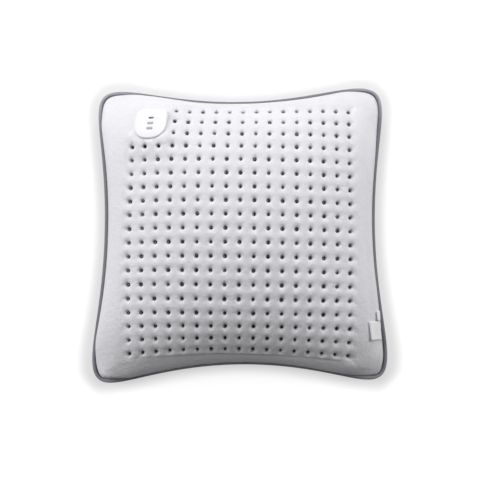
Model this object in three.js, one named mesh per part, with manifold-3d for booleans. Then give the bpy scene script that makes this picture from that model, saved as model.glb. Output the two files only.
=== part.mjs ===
// Heating cushion with a control pod: a stuffed square cushion with a tacked front, a heating wire
// held between the tacks, piping round its seam, two sewn-in labels and a pod with two push keys.
// Millimetres, +Z up. The cushion lies on its back: the origin is on the floor under its middle,
// +X is to the right and +Y points to the edge that the pod is near.

import * as THREE from "three";
import { mergeVertices } from "three/addons/utils/BufferGeometryUtils.js";
import Module from "manifold-3d";

const wasm = await Module();
wasm.setup();

// Clearances
const GAP = 0.3; // between pieces that touch
const LAYER_SLACK = 2; // between soft layers, where the facets of the crown sag

// Cushion, over the piping
const PAD_WIDTH = 400; // across the corners, left to right
const PAD_LENGTH = 406; // across the corners, bottom to top
const SIDE_DRAW = 16; // how far the middle of a left or right side is drawn in
const END_DRAW = 23; // how far the middle of a top or bottom side is drawn in
const SQUARENESS = 8; // exponent of the outline's round corners
const OUTLINE_SKEW = 0.012; // rise of the top and bottom sides from left to right
const SEAM_HEIGHT = 44; // seam above the floor, at the middle of a side
const CORNER_DROOP = 24; // how much lower the seam is at a corner
const CROWN_HEIGHT = 64; // front crown above the seam
const BACK_DEPTH = 56; // back crown below the seam, before the floor flattens it
const CROWN_FULLNESS = 0.5; // exponent of the crown's fall from its middle
const EDGE_FULLNESS = 0.2; // exponent of the crown's fall at its edge

// Covers and filling
const FRONT_THICKNESS = 6; // face fabric with its wadding, between the tacks
const FABRIC_THICKNESS = 2.2; // back cover, and front cover at the seam
const FILLING_INSET = 9; // filling inside the edge of the covers
const FILLING_EDGE = 2; // thickness of the filling at its edge
const FILLING_SLACK = 5; // between the filling and the sides of the back cover

// Tacks, in rows and columns on the flat panel
const TACK_COLUMNS = 17;
const TACK_ROWS = 19;
const SIDE_MARGIN = 52; // from the outer columns to the widest outline, on the flat panel
const END_MARGIN = 37.8; // from the outer rows to the longest outline, on the flat panel
const TACK_FIELD_DROP = 2.4; // middle of the field below the middle of the cushion
const TACK_FIELD_TURN = 0.0145; // clockwise turn of the field, in radians
const TACK_FIELD_PINCH = 0.019; // share by which the top and bottom rows are drawn together
const LOWER_BOW = 8.2; // rise of the middle of the bottom row
const BOWED_ROWS = 4; // rows over which that rise fades out
const TACK_ARC_RADIUS = 667; // arc that the stuffed panel follows, which draws the rows together
const TACK_DEPTH = 4.2;
const PUFF_HEIGHT = 1.2; // crown of the panel between four tacks
const BARE_COLUMNS = 3; // columns and rows left out beside the pod
const BARE_ROWS = 3;

// Piping: a cord in a folded tape, whose two tails are sewn between the covers
const PIPING_DIAMETER = 6;
const TAPE_THICKNESS = 0.5;
const TAPE_SLIT = 0.3;
const TAPE_TAIL = 7;
const PIPING_SIDES = 8;
const CORD_SIDES = 6;

// Heater
const FELT_THICKNESS = 1;
const FELT_SIDE_MARGIN = 14; // beyond the outer columns of tacks, where the wire turns
const FELT_END_MARGIN = 4; // beyond the outer rows of tacks
const WIRE_DIAMETER = 2;
const WIRE_SIDES = 5;
const LEAD_DIAMETER = 1.8;
const LEAD_SIDES = 7;
const LEAD_DEPTH = 11; // below the front
const LEAD_MARGIN = 17; // return lead from the drawn-in left side
const LEAD_BEND = 10; // reach of a lead's bends
const CUTOUT_LENGTH = 17;
const CUTOUT_WIDTH = 6.5;
const CUTOUT_HEIGHT = 3.6;

// Pod
const POD_FROM_SIDE = 82.2; // middle of the pod from the widest outline
const POD_FROM_END = 66.5; // middle of the pod from the longest outline
const POD_WIDTH = 43.5;
const POD_BROW = 23.6; // from the widest line to the straight top edge
const POD_CHIN = 21.6; // from the widest line to the round bottom
const POD_BROW_SQUARENESS = 5.5;
const POD_CHIN_SQUARENESS = 2.3;
const POD_HEIGHT = 9.2;
const POD_DOME = 0.8; // rise of the roof's middle above its rim
const POD_EDGE = 2.2; // radius of the roof's rim
const POD_WALL = 1.6;
const POD_ROOF = 1.5;
const POD_LIFT = -1.5; // base above the crown under its middle
const POD_TURN = 0.07; // clockwise turn of the pod about its own axis, in radians
const POD_POINTS = 36;
const BASE_THICKNESS = 1.6;
const WEB_THICKNESS = 1.5; // cover clamped under the pod
const RING_THICKNESS = 2;
const RING_INSET = 3;
const NECK_AT = [-10.5, 3];
const NECK_RADIUS = 4.6;
const NECK_WALL = 1.4;
const BOARD_HEIGHT = 2.6; // underside above the base of the pod
const BOARD_THICKNESS = 1;
const BOARD_INSET = 0.6;
const BOARD_HOLE_RADIUS = 3.6;

// Pod screws: place of one of the upper pair and of one of the lower pair
const SCREW_UPPER = [14, 13];
const SCREW_LOWER = [11, -12];
const SCREW_RADIUS = 1;
const SCREW_HEAD_RADIUS = 1.9;
const SCREW_HEAD_HEIGHT = 1.2;
const SCREW_BITE = 3.2; // length in the boss
const BOSS_RADIUS = 2.5;
const STANDOFF_RADIUS = 2.8;

// Keys, window and what is on the board
const KEYS = { power_key: -0.5, heat_key: -8.5 }; // places on the middle line of the pod
const KEY_WIDTH = 8.4;
const KEY_HEIGHT = 3.6;
const KEY_PROUD = 1.2; // above the rim of the roof
const KEY_FLANGE = 0.9; // flange beyond the slot, all round
const KEY_FLANGE_THICKNESS = 0.8;
const DOME_BASE_RADIUS = 3;
const DOME_TOP_RADIUS = 1.7;
const DOME_WALL = 0.6;
const WINDOW_Y = 8;
const WINDOW_WIDTH = 7.4;
const WINDOW_HEIGHT = 2.4;
const WINDOW_PROUD = 0.5; // above the rim of the roof
const LED_SPACING = 3.6;
const LED_SIZE = [1.6, 1, 0.7];
const LIGHT_LEG_RADIUS = 0.8;
const CHIP_SIZE = [5, 5, 0.9];
const CHIP_AT = [10, 4];
const CONNECTOR_SIZE = [6, 4, 3];
const CONNECTOR_AT = [-9, 8.8];
const PIN_SPACING = 2.8;
const SOCKET_WIDTH = 8.9;
const SOCKET_HEIGHT = 3.2;
const SOCKET_LENGTH = 7.3;
const SOCKET_WALL = 0.3;
const SOCKET_BACK = 1.2;
const SOCKET_SETBACK = 0.5; // mouth behind the outside of the pod
const TONGUE_WIDTH = 6.7;
const TONGUE_HEIGHT = 0.7;
const TONGUE_SETBACK = 0.8;

// Labels in the right-hand seam: middle from the lower end, width along the side and free length
const LABEL_THICKNESS = 0.8;
const LABELS = {
  care_label: { fromEnd: 69.2, width: 24.5, length: 25 },
  side_label: { fromEnd: 88.7, width: 13, length: 8.5 },
};

const { sin, cos, abs, hypot, max, min, PI } = Math;
const vec = (x, y, z) => new THREE.Vector3(x, y, z);
const lerp = THREE.MathUtils.lerp;
const steps = (count) => Array.from({ length: count }, (_, i) => i);
const spread = (from, to, count) => steps(count + 1).map((i) => lerp(from, to, i / count));

// Materials
const paint = (color, roughness, metalness = 0) =>
  new THREE.MeshStandardMaterial({ color, roughness, metalness });
const velour = paint(0xe2e1e5, 0.95);
const pipingFabric = paint(0x868894, 0.85);
const cordYarn = paint(0xd8d4c8, 0.95);
const fibre = paint(0xf1efea, 1);
const felt = paint(0xd9d6cf, 1);
const heatWire = paint(0xb5563c, 0.5);
const leadJacket = paint(0xd7dade, 0.5);
const labelTape = paint(0xf2f1f0, 0.8);
const podPlastic = paint(0xf4f3f6, 0.35);
const basePlastic = paint(0xd6d6da, 0.5);
const keyRubber = paint(0xb9bac2, 0.6);
const silicone = paint(0xbfc3c8, 0.55);
const smokedLens = paint(0x4a4048, 0.2);
const boardGreen = paint(0x1f5a38, 0.5);
const chipBlack = paint(0x1d1d20, 0.6);
const ledClear = paint(0xf3efd8, 0.3);
const connectorWhite = paint(0xe9e6dc, 0.5);
const steel = paint(0xb4b6ba, 0.35, 0.9);

// Triangles gathered into one closed skin, turned to face out
class Skin {
  corners = [];

  triangle(a, b, c) {
    this.corners.push(a, b, c);
  }

  quad(a, b, c, d) {
    this.triangle(a, b, c);
    this.triangle(a, c, d);
  }

  // Joins two closed loops of as many points
  band(lower, upper) {
    lower.forEach((point, i) => {
      const next = (i + 1) % lower.length;
      this.quad(point, lower[next], upper[next], upper[i]);
    });
  }

  // Closes a loop onto a middle point
  cap(loop, middle) {
    loop.forEach((point, i) => this.triangle(point, loop[(i + 1) % loop.length], middle));
  }

  geometry() {
    const c = this.corners;
    let volume = 0;
    for (let i = 0; i < c.length; i += 3) volume += c[i].dot(vec(0, 0, 0).crossVectors(c[i + 1], c[i + 2]));
    if (volume < 0) c.reverse();
    return new THREE.BufferGeometry().setFromPoints(c);
  }
}

const middleOf = (loop) =>
  loop.reduce((sum, p) => sum.add(p), vec(0, 0, 0)).divideScalar(loop.length);

// Loops joined one after another and closed at both ends
function loft(loops) {
  const skin = new Skin();
  loops.slice(1).forEach((loop, i) => skin.band(loops[i], loop));
  skin.cap([...loops[0]].reverse(), middleOf(loops[0]));
  skin.cap(loops.at(-1), middleOf(loops.at(-1)));
  return skin.geometry();
}

// A flat section carried along a path; up gives each point's upward direction
function sweep(section, path, up, closed = false) {
  const count = path.length;
  const loops = path.map((point, i) => {
    const before = path[closed ? (i + count - 1) % count : max(i - 1, 0)];
    const after = path[closed ? (i + 1) % count : min(i + 1, count - 1)];
    const along = after.clone().sub(before).normalize();
    const side = vec(0, 0, 0).crossVectors(along, up(i)).normalize();
    const top = vec(0, 0, 0).crossVectors(side, along);
    return section.map(([a, b]) => point.clone().addScaledVector(side, a).addScaledVector(top, b));
  });
  if (!closed) return loft(loops);
  const skin = new Skin();
  loops.forEach((loop, i) => skin.band(loop, loops[(i + 1) % count]));
  return skin.geometry();
}

const upright = () => vec(0, 0, 1);
const round = (radius, sides) =>
  steps(sides).map((i) => [radius * cos((2 * PI * i) / sides), radius * sin((2 * PI * i) / sides)]);

// Joins and cuts
function solidOf(geometry) {
  const bare = geometry.index ? geometry.toNonIndexed() : geometry.clone();
  bare.deleteAttribute("normal");
  bare.deleteAttribute("uv");
  const merged = mergeVertices(bare);
  return new wasm.Manifold(
    new wasm.Mesh({
      numProp: 3,
      vertProperties: merged.attributes.position.array,
      triVerts: new Uint32Array(merged.index.array),
    }),
  );
}

function geometryOf(solid) {
  const mesh = solid.getMesh();
  return new THREE.BufferGeometry()
    .setAttribute("position", new THREE.BufferAttribute(mesh.vertProperties, 3))
    .setIndex(new THREE.BufferAttribute(mesh.triVerts, 1));
}

const cut = (geometry, ...tools) =>
  geometryOf(tools.reduce((solid, tool) => solid.subtract(solidOf(tool)), solidOf(geometry)));
const join = (geometry, ...others) =>
  geometryOf(others.reduce((solid, other) => solid.add(solidOf(other)), solidOf(geometry)));

// Pillow coordinates: X and Y run from -1 to 1, and the outline is where X^n + Y^n is 1

// How far the outline has to flare from the waist for its widest points to reach a half-size
function flareFor(waist, reach) {
  const edge = spread(0, 1, 200).map((y) => [(1 - y ** SQUARENESS) ** (1 / SQUARENESS), y * y]);
  const widest = (flare) => max(...edge.map(([x, yy]) => x * (waist + flare * yy)));
  let flare = reach - waist;
  for (const _ of steps(40)) flare += reach - widest(flare);
  return flare;
}

// Half-sizes across the drawn-in middles
const waistX = PAD_WIDTH / 2 - SIDE_DRAW;
const waistY = PAD_LENGTH / 2 - END_DRAW;
const flareX = flareFor(waistX, PAD_WIDTH / 2);
const flareY = flareFor(waistY, PAD_LENGTH / 2);

function plan(X, Y, inset) {
  const x = X * (waistX - inset + flareX * Y * Y);
  return [x, Y * (waistY - inset + flareY * X * X) + OUTLINE_SKEW * x];
}

// The pillow coordinates of a place in plan
function pillow(x, y, inset) {
  let X = 0;
  let Y = 0;
  for (const _ of steps(30)) {
    X = x / (waistX - inset + flareX * Y * Y);
    Y = (y - OUTLINE_SKEW * x) / (waistY - inset + flareY * X * X);
  }
  return [X, Y];
}

const cornerShare = (X, Y) => (X * Y) ** 4 * 2 ** (8 / SQUARENESS);
const seamHeight = (X, Y) => SEAM_HEIGHT - CORNER_DROOP * cornerShare(X, Y);

// Height of a crown as a share of its middle: 0 all along the outline
function crown(X, Y) {
  const inside = max(0, 1 - abs(X) ** SQUARENESS - abs(Y) ** SQUARENESS);
  const fall = max(0, (1 - X * X) * (1 - Y * Y));
  return fall ** CROWN_FULLNESS * inside ** EDGE_FULLNESS;
}

// Stations round the outline, closer at the corners: a tack row or column ends opposite each
const COLUMN_CELLS = TACK_COLUMNS - 1;
const ROW_CELLS = TACK_ROWS - 1;
const CORNER_CROWDING = 0.6;

function sideStations(cells) {
  return spread(-1, 1, cells)
    .slice(0, -1)
    .map((t) => lerp(t, sin((t * PI) / 2), CORNER_CROWDING));
}

const onOutline = (X, Y) => {
  const shrink = (abs(X) ** SQUARENESS + abs(Y) ** SQUARENESS) ** (-1 / SQUARENESS);
  return [X * shrink, Y * shrink];
};

const outline = [
  ...sideStations(ROW_CELLS).map((t) => onOutline(1, t)),
  ...sideStations(COLUMN_CELLS).map((t) => onOutline(-t, 1)),
  ...sideStations(ROW_CELLS).map((t) => onOutline(-1, -t)),
  ...sideStations(COLUMN_CELLS).map((t) => onOutline(t, -1)),
];

// Front of the cushion

const tailHalf = TAPE_SLIT / 2 + TAPE_THICKNESS;
const seamHalf = tailHalf + GAP; // from the seam's middle to the edge of a cover
const coverInset = PIPING_DIAMETER + GAP;

const pipingPath = outline.map(([X, Y]) => vec(...plan(X, Y, PIPING_DIAMETER / 2), seamHeight(X, Y)));

// Loop at a distance inside the outside of the piping, level with the seam
function seamLoop(inset, lift) {
  return pipingPath.map((point, i) => {
    const before = pipingPath.at(i - 1);
    const after = pipingPath[(i + 1) % pipingPath.length];
    const side = after.clone().sub(before).cross(vec(0, 0, 1)).normalize();
    return point.clone().addScaledVector(side, PIPING_DIAMETER / 2 - inset).add(vec(0, 0, lift));
  });
}

const bareFront = (X, Y) => seamHeight(X, Y) + seamHalf + CROWN_HEIGHT * crown(X, Y);

function bareFrontAt(x, y) {
  return bareFront(...pillow(x, y, coverInset));
}

// The pod's frame: its base lies across the crown under it
const podX = POD_FROM_SIDE - PAD_WIDTH / 2;
const podY = PAD_LENGTH / 2 - POD_FROM_END;
const podReach = (POD_BROW + POD_CHIN) / 2;
const podNormal = vec(
  bareFrontAt(podX - POD_WIDTH / 2, podY) - bareFrontAt(podX + POD_WIDTH / 2, podY),
  (bareFrontAt(podX, podY - podReach) - bareFrontAt(podX, podY + podReach)) *
    (POD_WIDTH / 2 / podReach),
  POD_WIDTH,
).normalize();
const podFrame = new THREE.Matrix4().compose(
  vec(podX, podY, bareFrontAt(podX, podY) + POD_LIFT),
  new THREE.Quaternion()
    .setFromUnitVectors(vec(0, 0, 1), podNormal)
    .multiply(new THREE.Quaternion().setFromAxisAngle(vec(0, 0, 1), -POD_TURN)),
  vec(1, 1, 1),
);
const fromPod = (x, y, z) => vec(x, y, z).applyMatrix4(podFrame);

// The cover is drawn flat where the pod is clamped to it
const PATCH_FULL = 1.3; // in half-sizes of the pod
const PATCH_END = 2.1;
const PATCH_PROUD = 3.5; // above the base of the pod, before the seat is cut

function front(X, Y) {
  const [x, y] = plan(X, Y, coverInset);
  const away = hypot((x - podX) / (POD_WIDTH / 2), (y - podY) / podReach);
  const flat = 1 - THREE.MathUtils.smoothstep(away, PATCH_FULL, PATCH_END);
  const base = fromPod(0, 0, 0);
  const slope = (podNormal.x * (x - base.x) + podNormal.y * (y - base.y)) / podNormal.z;
  return vec(x, y, lerp(bareFront(X, Y), base.z - slope + PATCH_PROUD, flat));
}

const NORMAL_STEP = 0.004;
const NORMAL_EDGE = 0.985;

// Outward direction of the front; level where the front meets the seam
function frontNormal(X, Y) {
  const edge = abs(X) ** SQUARENESS + abs(Y) ** SQUARENESS > 0.999;
  const inward = edge ? NORMAL_EDGE : 1;
  const [u, v] = [X * inward, Y * inward];
  const across = front(u + NORMAL_STEP, v).sub(front(u - NORMAL_STEP, v));
  const along = front(u, v + NORMAL_STEP).sub(front(u, v - NORMAL_STEP));
  const normal = across.cross(along);
  if (edge) normal.z = 0;
  return normal.normalize();
}

const under = (X, Y, depth) => front(X, Y).addScaledVector(frontNormal(X, Y), -depth);
const underAt = (x, y, depth) => under(...pillow(x, y, coverInset), depth);

// Place in plan of a tack, by its column and row, counted from the top left
const drawn = (flat) => TACK_ARC_RADIUS * sin(flat / TACK_ARC_RADIUS);
const columnPitch = (PAD_WIDTH - 2 * SIDE_MARGIN) / COLUMN_CELLS;
const rowPitch = (PAD_LENGTH - 2 * END_MARGIN) / ROW_CELLS;

function field(column, row) {
  const across = column / (COLUMN_CELLS / 2) - 1;
  const along = 1 - row / (ROW_CELLS / 2);
  const low = max(0, row - (ROW_CELLS - BOWED_ROWS)) / BOWED_ROWS;
  const bow = LOWER_BOW * (1 - across * across) * min(1, low) ** 2;
  const pinch = 1 - TACK_FIELD_PINCH * along * along;
  const x = drawn((column - COLUMN_CELLS / 2) * columnPitch) * pinch;
  const y = drawn((ROW_CELLS / 2 - row) * rowPitch - TACK_FIELD_DROP) + bow;
  return pillow(x + TACK_FIELD_TURN * y, y - TACK_FIELD_TURN * x, coverInset);
}

const hasTack = (column, row) => column >= BARE_COLUMNS || row >= BARE_ROWS;

// A layer from an edge loop to the middle, with loops at shares of the outline; facing up or down
function dish(skin, edge, shares, place, facesUp) {
  const loops = [edge];
  for (const share of shares) loops.push(outline.map(([X, Y]) => place(X * share, Y * share)));
  loops.slice(1).forEach((loop, i) => {
    if (facesUp) skin.band(loops[i], loop);
    else skin.band(loop, loops[i]);
  });
  const last = loops.at(-1);
  skin.cap(facesUp ? last : [...last].reverse(), place(0, 0));
}

// Front cover: face fabric and wadding, drawn down at the tacks
const MARGIN_SHARES = [0.3, 0.62, 0.87];
const LINING_SHARES = [0.96, 0.86, 0.74, 0.6, 0.42, 0.2];

function tackedFace(skin) {
  const tack = (i, j) => under(...field(i, j), hasTack(i, j) ? TACK_DEPTH : 0);
  const puff = (i, j) => under(...field(i, j), hasTack(i, j) ? -PUFF_HEIGHT : 0);
  const grid = steps(TACK_ROWS).map((j) => steps(TACK_COLUMNS).map((i) => tack(i, j)));
  for (const j of steps(ROW_CELLS)) {
    for (const i of steps(COLUMN_CELLS)) {
      const ring = [grid[j + 1][i], grid[j + 1][i + 1], grid[j][i + 1], grid[j][i]];
      skin.cap(ring, puff(i + 0.5, j + 0.5));
    }
  }
  const rim = [
    ...steps(ROW_CELLS).map((k) => [COLUMN_CELLS, ROW_CELLS - k]),
    ...steps(COLUMN_CELLS).map((k) => [COLUMN_CELLS - k, 0]),
    ...steps(ROW_CELLS).map((k) => [0, k]),
    ...steps(COLUMN_CELLS).map((k) => [k, ROW_CELLS]),
  ];
  let inner = rim.map(([i, j]) => grid[j][i]);
  for (const share of MARGIN_SHARES) {
    const outer = rim.map(([i, j], k) => {
      const [X, Y] = field(i, j);
      return front(lerp(X, outline[k][0], share), lerp(Y, outline[k][1], share));
    });
    skin.band(outer, inner);
    inner = outer;
  }
  skin.band(seamLoop(coverInset, seamHalf), inner);
}

function frontCover() {
  const skin = new Skin();
  tackedFace(skin);
  const thickness = (X, Y) => lerp(FABRIC_THICKNESS, FRONT_THICKNESS, crown(X, Y));
  const lining = (X, Y) => under(X, Y, thickness(X, Y));
  const inner = seamLoop(coverInset + FABRIC_THICKNESS, seamHalf);
  dish(skin, inner, LINING_SHARES, lining, false);
  skin.band(inner, seamLoop(coverInset, seamHalf));
  return skin.geometry();
}

// Back cover, flat where it lies on the floor
const BACK_SHARES = [0.97, 0.9, 0.8, 0.68, 0.55, 0.3];

function backPlace(inset, floor, slack = 0) {
  return (X, Y) => {
    const z = seamHeight(X, Y) - seamHalf - (BACK_DEPTH - floor - slack) * crown(X, Y);
    return vec(...plan(X, Y, inset), max(floor, z));
  };
}

function backCover() {
  const skin = new Skin();
  const outer = seamLoop(coverInset, -seamHalf);
  const inner = seamLoop(coverInset + FABRIC_THICKNESS, -seamHalf);
  dish(skin, outer, BACK_SHARES, backPlace(coverInset, 0), false);
  dish(skin, inner, BACK_SHARES, backPlace(coverInset + FABRIC_THICKNESS, FABRIC_THICKNESS), true);
  skin.band(outer, inner);
  return skin.geometry();
}

// Depths of the heater's layers below the front
const topFeltDepth = FRONT_THICKNESS + LAYER_SLACK;
const wireDepth = topFeltDepth + FELT_THICKNESS + LAYER_SLACK + WIRE_DIAMETER / 2;
const bottomFeltDepth = wireDepth + WIRE_DIAMETER / 2 + LAYER_SLACK;
const fillingDepth = bottomFeltDepth + FELT_THICKNESS + 2 * LAYER_SLACK;

// Filling between the heater and the back
const FILLING_SHARES = [0.95, 0.82, 0.66, 0.45];

function filling() {
  const inset = coverInset + FILLING_INSET;
  const skin = new Skin();
  const upper = seamLoop(inset, FILLING_EDGE / 2);
  const lower = seamLoop(inset, -FILLING_EDGE / 2);
  dish(skin, upper, FILLING_SHARES, (X, Y) => under(X, Y, fillingDepth), true);
  const bottom = backPlace(inset, FABRIC_THICKNESS + GAP, FILLING_SLACK);
  dish(skin, lower, FILLING_SHARES, bottom, false);
  skin.band(lower, upper);
  return skin.geometry();
}

// Piping
function tapeSection() {
  const outer = PIPING_DIAMETER / 2;
  const inner = outer - TAPE_THICKNESS;
  const end = -outer - TAPE_TAIL;
  const arc = (radius, half, sides) => {
    const open = PI - Math.asin(half / radius);
    return spread(open, -open, sides).map((a) => [radius * cos(a), radius * sin(a)]);
  };
  return [
    [end, tailHalf],
    ...arc(outer, tailHalf, PIPING_SIDES),
    [end, -tailHalf],
    [end, -TAPE_SLIT / 2],
    ...arc(inner, TAPE_SLIT / 2, CORD_SIDES).reverse(),
    [end, TAPE_SLIT / 2],
  ];
}

const cordRadius = PIPING_DIAMETER / 2 - TAPE_THICKNESS - GAP;

// Heater: two felts, and the wire between them in the channels between the tack rows
const BARE_EDGE = 0.15; // the felts end this far before the first tack beside the pod
const bareColumn = BARE_COLUMNS - BARE_EDGE;
const bareRow = BARE_ROWS - BARE_EDGE;

// Columns where the felts and the wire bend over the crown
const bendColumns = [bareColumn / 3, ...spread(bareColumn, COLUMN_CELLS - bareColumn / 3, 5)];

function feltSheet(depth) {
  const [side, end] = [FELT_SIDE_MARGIN / columnPitch, FELT_END_MARGIN / rowPitch];
  const columns = [-side, ...bendColumns, COLUMN_CELLS + side];
  const middleRows = spread(bareRow, ROW_CELLS - bareRow / 3, 7);
  const rows = [-end, bareRow / 3, ...middleRows, ROW_CELLS + end];
  const used = (a, b) => {
    const inside = a >= 0 && b >= 0 && a < columns.length - 1 && b < rows.length - 1;
    return inside && (columns[a] >= bareColumn || rows[b] >= bareRow);
  };
  const at = (a, b, deep) => under(...field(columns[a], rows[b]), deep);
  const skin = new Skin();
  const wall = (a, b, c, d) => {
    const low = depth + FELT_THICKNESS;
    skin.quad(at(a, b, low), at(c, d, low), at(c, d, depth), at(a, b, depth));
  };
  for (const b of steps(rows.length - 1)) {
    for (const a of steps(columns.length - 1)) {
      if (!used(a, b)) continue;
      const low = depth + FELT_THICKNESS;
      skin.quad(at(a, b + 1, depth), at(a + 1, b + 1, depth), at(a + 1, b, depth), at(a, b, depth));
      skin.quad(at(a, b, low), at(a + 1, b, low), at(a + 1, b + 1, low), at(a, b + 1, low));
      if (!used(a - 1, b)) wall(a, b, a, b + 1);
      if (!used(a + 1, b)) wall(a + 1, b + 1, a + 1, b);
      if (!used(a, b - 1)) wall(a + 1, b, a, b);
      if (!used(a, b + 1)) wall(a, b + 1, a + 1, b + 1);
    }
  }
  return skin.geometry();
}

const TURN_STEPS = 3;
const BARE_RUN_START = 0.9; // runs beside the pod start this far inside the first tack

// Columns where a run of the wire turns, by the row above it
const runLeft = (row) => (row < BARE_ROWS ? BARE_COLUMNS + BARE_RUN_START : 0);

function wirePath() {
  const places = [];
  for (const row of steps(ROW_CELLS)) {
    const leftwards = row % 2 === 1;
    const bends = bendColumns.filter((column) => column > runLeft(row));
    const columns = [runLeft(row), ...bends, COLUMN_CELLS];
    if (leftwards) columns.reverse();
    columns.forEach((column) => places.push([column, row + 0.5]));
    if (row === ROW_CELLS - 1) break;
    const outwards = leftwards ? -1 : 1;
    for (const turn of spread(-PI / 2, PI / 2, TURN_STEPS).slice(1, -1)) {
      places.push([columns.at(-1) + (outwards * cos(turn)) / 2, row + 1 + sin(turn) / 2]);
    }
  }
  return places.map(([column, row]) => under(...field(column, row), wireDepth));
}

// Levels of the clamped cover and the clamp ring, measured down from the base of the pod
const webTop = -GAP;
const webBottom = webTop - WEB_THICKNESS;
const ringTop = webBottom - GAP;
const ringBottom = ringTop - RING_THICKNESS;

// Leads from the ends of the wire to the pod's connector; the way back carries the thermal cut-out
const boardTop = BOARD_HEIGHT + BOARD_THICKNESS;
const pinY = CONNECTOR_AT[1] - CONNECTOR_SIZE[1] / 2 - GAP;
const pinZ = boardTop + GAP + CONNECTOR_SIZE[2] / 2;

// From a pin of the connector, -1 or 1, over the edge of the board's hole and down the neck
function pinLead(pin) {
  const [pinX, neckX] = [CONNECTOR_AT, NECK_AT].map(([x]) => x + pin * (PIN_SPACING / 2));
  const neckY = NECK_AT[1];
  return [
    [pinX, pinY, pinZ],
    [pinX, pinY - LEAD_DIAMETER / 2, pinZ],
    [lerp(pinX, neckX, 0.6), lerp(pinY, neckY, 0.6), pinZ - LEAD_DIAMETER / 4],
    [neckX, neckY, pinZ - LEAD_DIAMETER],
    [neckX, neckY, BASE_THICKNESS / 2],
    [neckX, neckY, ringBottom],
  ].map((place) => fromPod(...place));
}

const wire = wirePath();
const wireStart = wire[0];
const wireEnd = wire.at(-1);
const LEAD_JOINT = 0.8; // between the ends of a lead and of what it is joined to

function endGap(point, next) {
  return point.clone().addScaledVector(next.clone().sub(point).normalize(), LEAD_JOINT);
}

function feedLead() {
  const start = endGap(wireStart, wireStart.clone().add(vec(-1, 0, 0)));
  return [
    ...pinLead(1),
    underAt(podX - 0.6 * LEAD_BEND, podY + 0.5 * LEAD_BEND, LEAD_DEPTH),
    underAt(podX + 0.3 * LEAD_BEND, podY + 0.6 * LEAD_BEND, LEAD_DEPTH),
    underAt(podX + LEAD_BEND, podY + 0.8 * LEAD_BEND, LEAD_DEPTH + LEAD_DIAMETER / 2),
    underAt(podX + 1.4 * LEAD_BEND, podY + LEAD_BEND, wireDepth),
    underAt(podX + 2 * LEAD_BEND, start.y - 0.05 * LEAD_BEND, wireDepth),
    start,
  ];
}

// The return lead runs up the left-hand margin, with the cut-out at its middle
const CUTOUT_Y = 10;
const MARGIN_DEPTH = 8.4;
const marginX = LEAD_MARGIN - waistX;
const margin = (y) => underAt(marginX, y, MARGIN_DEPTH);
const cutoutPath = [margin(CUTOUT_Y - CUTOUT_LENGTH / 2), margin(CUTOUT_Y + CUTOUT_LENGTH / 2)];

function lowerReturnLead() {
  const start = endGap(wireEnd, wireEnd.clone().add(vec(-1, 0, 0)));
  const end = CUTOUT_Y - CUTOUT_LENGTH;
  const bendEnd = start.y + 4.5 * LEAD_BEND;
  return [
    start,
    underAt(start.x - 0.6 * LEAD_BEND, start.y + 0.05 * LEAD_BEND, wireDepth),
    underAt(marginX + LEAD_BEND, start.y + 0.8 * LEAD_BEND, wireDepth),
    underAt(marginX + 0.1 * LEAD_BEND, start.y + 2.3 * LEAD_BEND, MARGIN_DEPTH + LEAD_DIAMETER / 2),
    ...spread(bendEnd, end, 3).slice(0, -1).map(margin),
    endGap(cutoutPath[0], margin(end)),
  ];
}

function upperReturnLead() {
  const start = CUTOUT_Y + CUTOUT_LENGTH;
  return [
    endGap(cutoutPath[1], margin(start)),
    ...spread(start, podY - 6 * LEAD_BEND, 2).slice(1).map(margin),
    underAt(marginX + 0.2 * LEAD_BEND, podY - 3.5 * LEAD_BEND, MARGIN_DEPTH + LEAD_DIAMETER / 2),
    underAt(marginX + LEAD_BEND, podY - 1.7 * LEAD_BEND, LEAD_DEPTH),
    underAt(marginX + 2.3 * LEAD_BEND, podY - 0.3 * LEAD_BEND, LEAD_DEPTH),
    underAt(podX - 1.8 * LEAD_BEND, podY + 0.3 * LEAD_BEND, LEAD_DEPTH),
    ...pinLead(-1).reverse(),
  ];
}

function cutout() {
  const [a, b] = [CUTOUT_WIDTH / 2, CUTOUT_HEIGHT / 2];
  const bevel = 1;
  const section = [
    [a, b - bevel], [a - bevel, b], [bevel - a, b], [-a, b - bevel],
    [-a, bevel - b], [bevel - a, -b], [a - bevel, -b], [a, bevel - b],
  ];
  const normal = frontNormal(...pillow(marginX, CUTOUT_Y, coverInset));
  return sweep(section, cutoutPath, () => normal);
}

// Labels: strips that lie on the front, rooted above the piping
const LABEL_ROOT_HEIGHT = 5; // above the seam
const LABEL_LIFT = 0.5; // underside above the front
const LABEL_STEPS = 5;
const CLIMB_STEP = 0.1;

// Climbs the front from the seam at one place along the side, marking equal lengths from the root
function labelTrack(y, length) {
  const at = (x) => pillow(x, y, coverInset);
  const height = (x) => CROWN_HEIGHT * crown(...at(x));
  let x = PAD_WIDTH / 2;
  while (height(x) < LABEL_ROOT_HEIGHT) x -= CLIMB_STEP;
  const places = [at(x)];
  for (const _ of steps(LABEL_STEPS)) {
    const from = under(...places.at(-1), -LABEL_LIFT);
    while (under(...at(x), -LABEL_LIFT).distanceTo(from) < length / LABEL_STEPS) x -= CLIMB_STEP;
    places.push(at(x));
  }
  return places;
}

function label({ fromEnd, width, length }) {
  const y = fromEnd - PAD_LENGTH / 2;
  const tracks = spread(y - width / 2, y + width / 2, 2).map((side) => labelTrack(side, length));
  const loops = steps(LABEL_STEPS + 1).map((k) => {
    const places = tracks.map((track) => track[k]);
    const lower = places.map((place) => under(...place, -LABEL_LIFT));
    const upper = places.map((place) => under(...place, -LABEL_LIFT - LABEL_THICKNESS));
    return [...lower, ...upper.reverse()];
  });
  return loft(loops);
}

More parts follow.
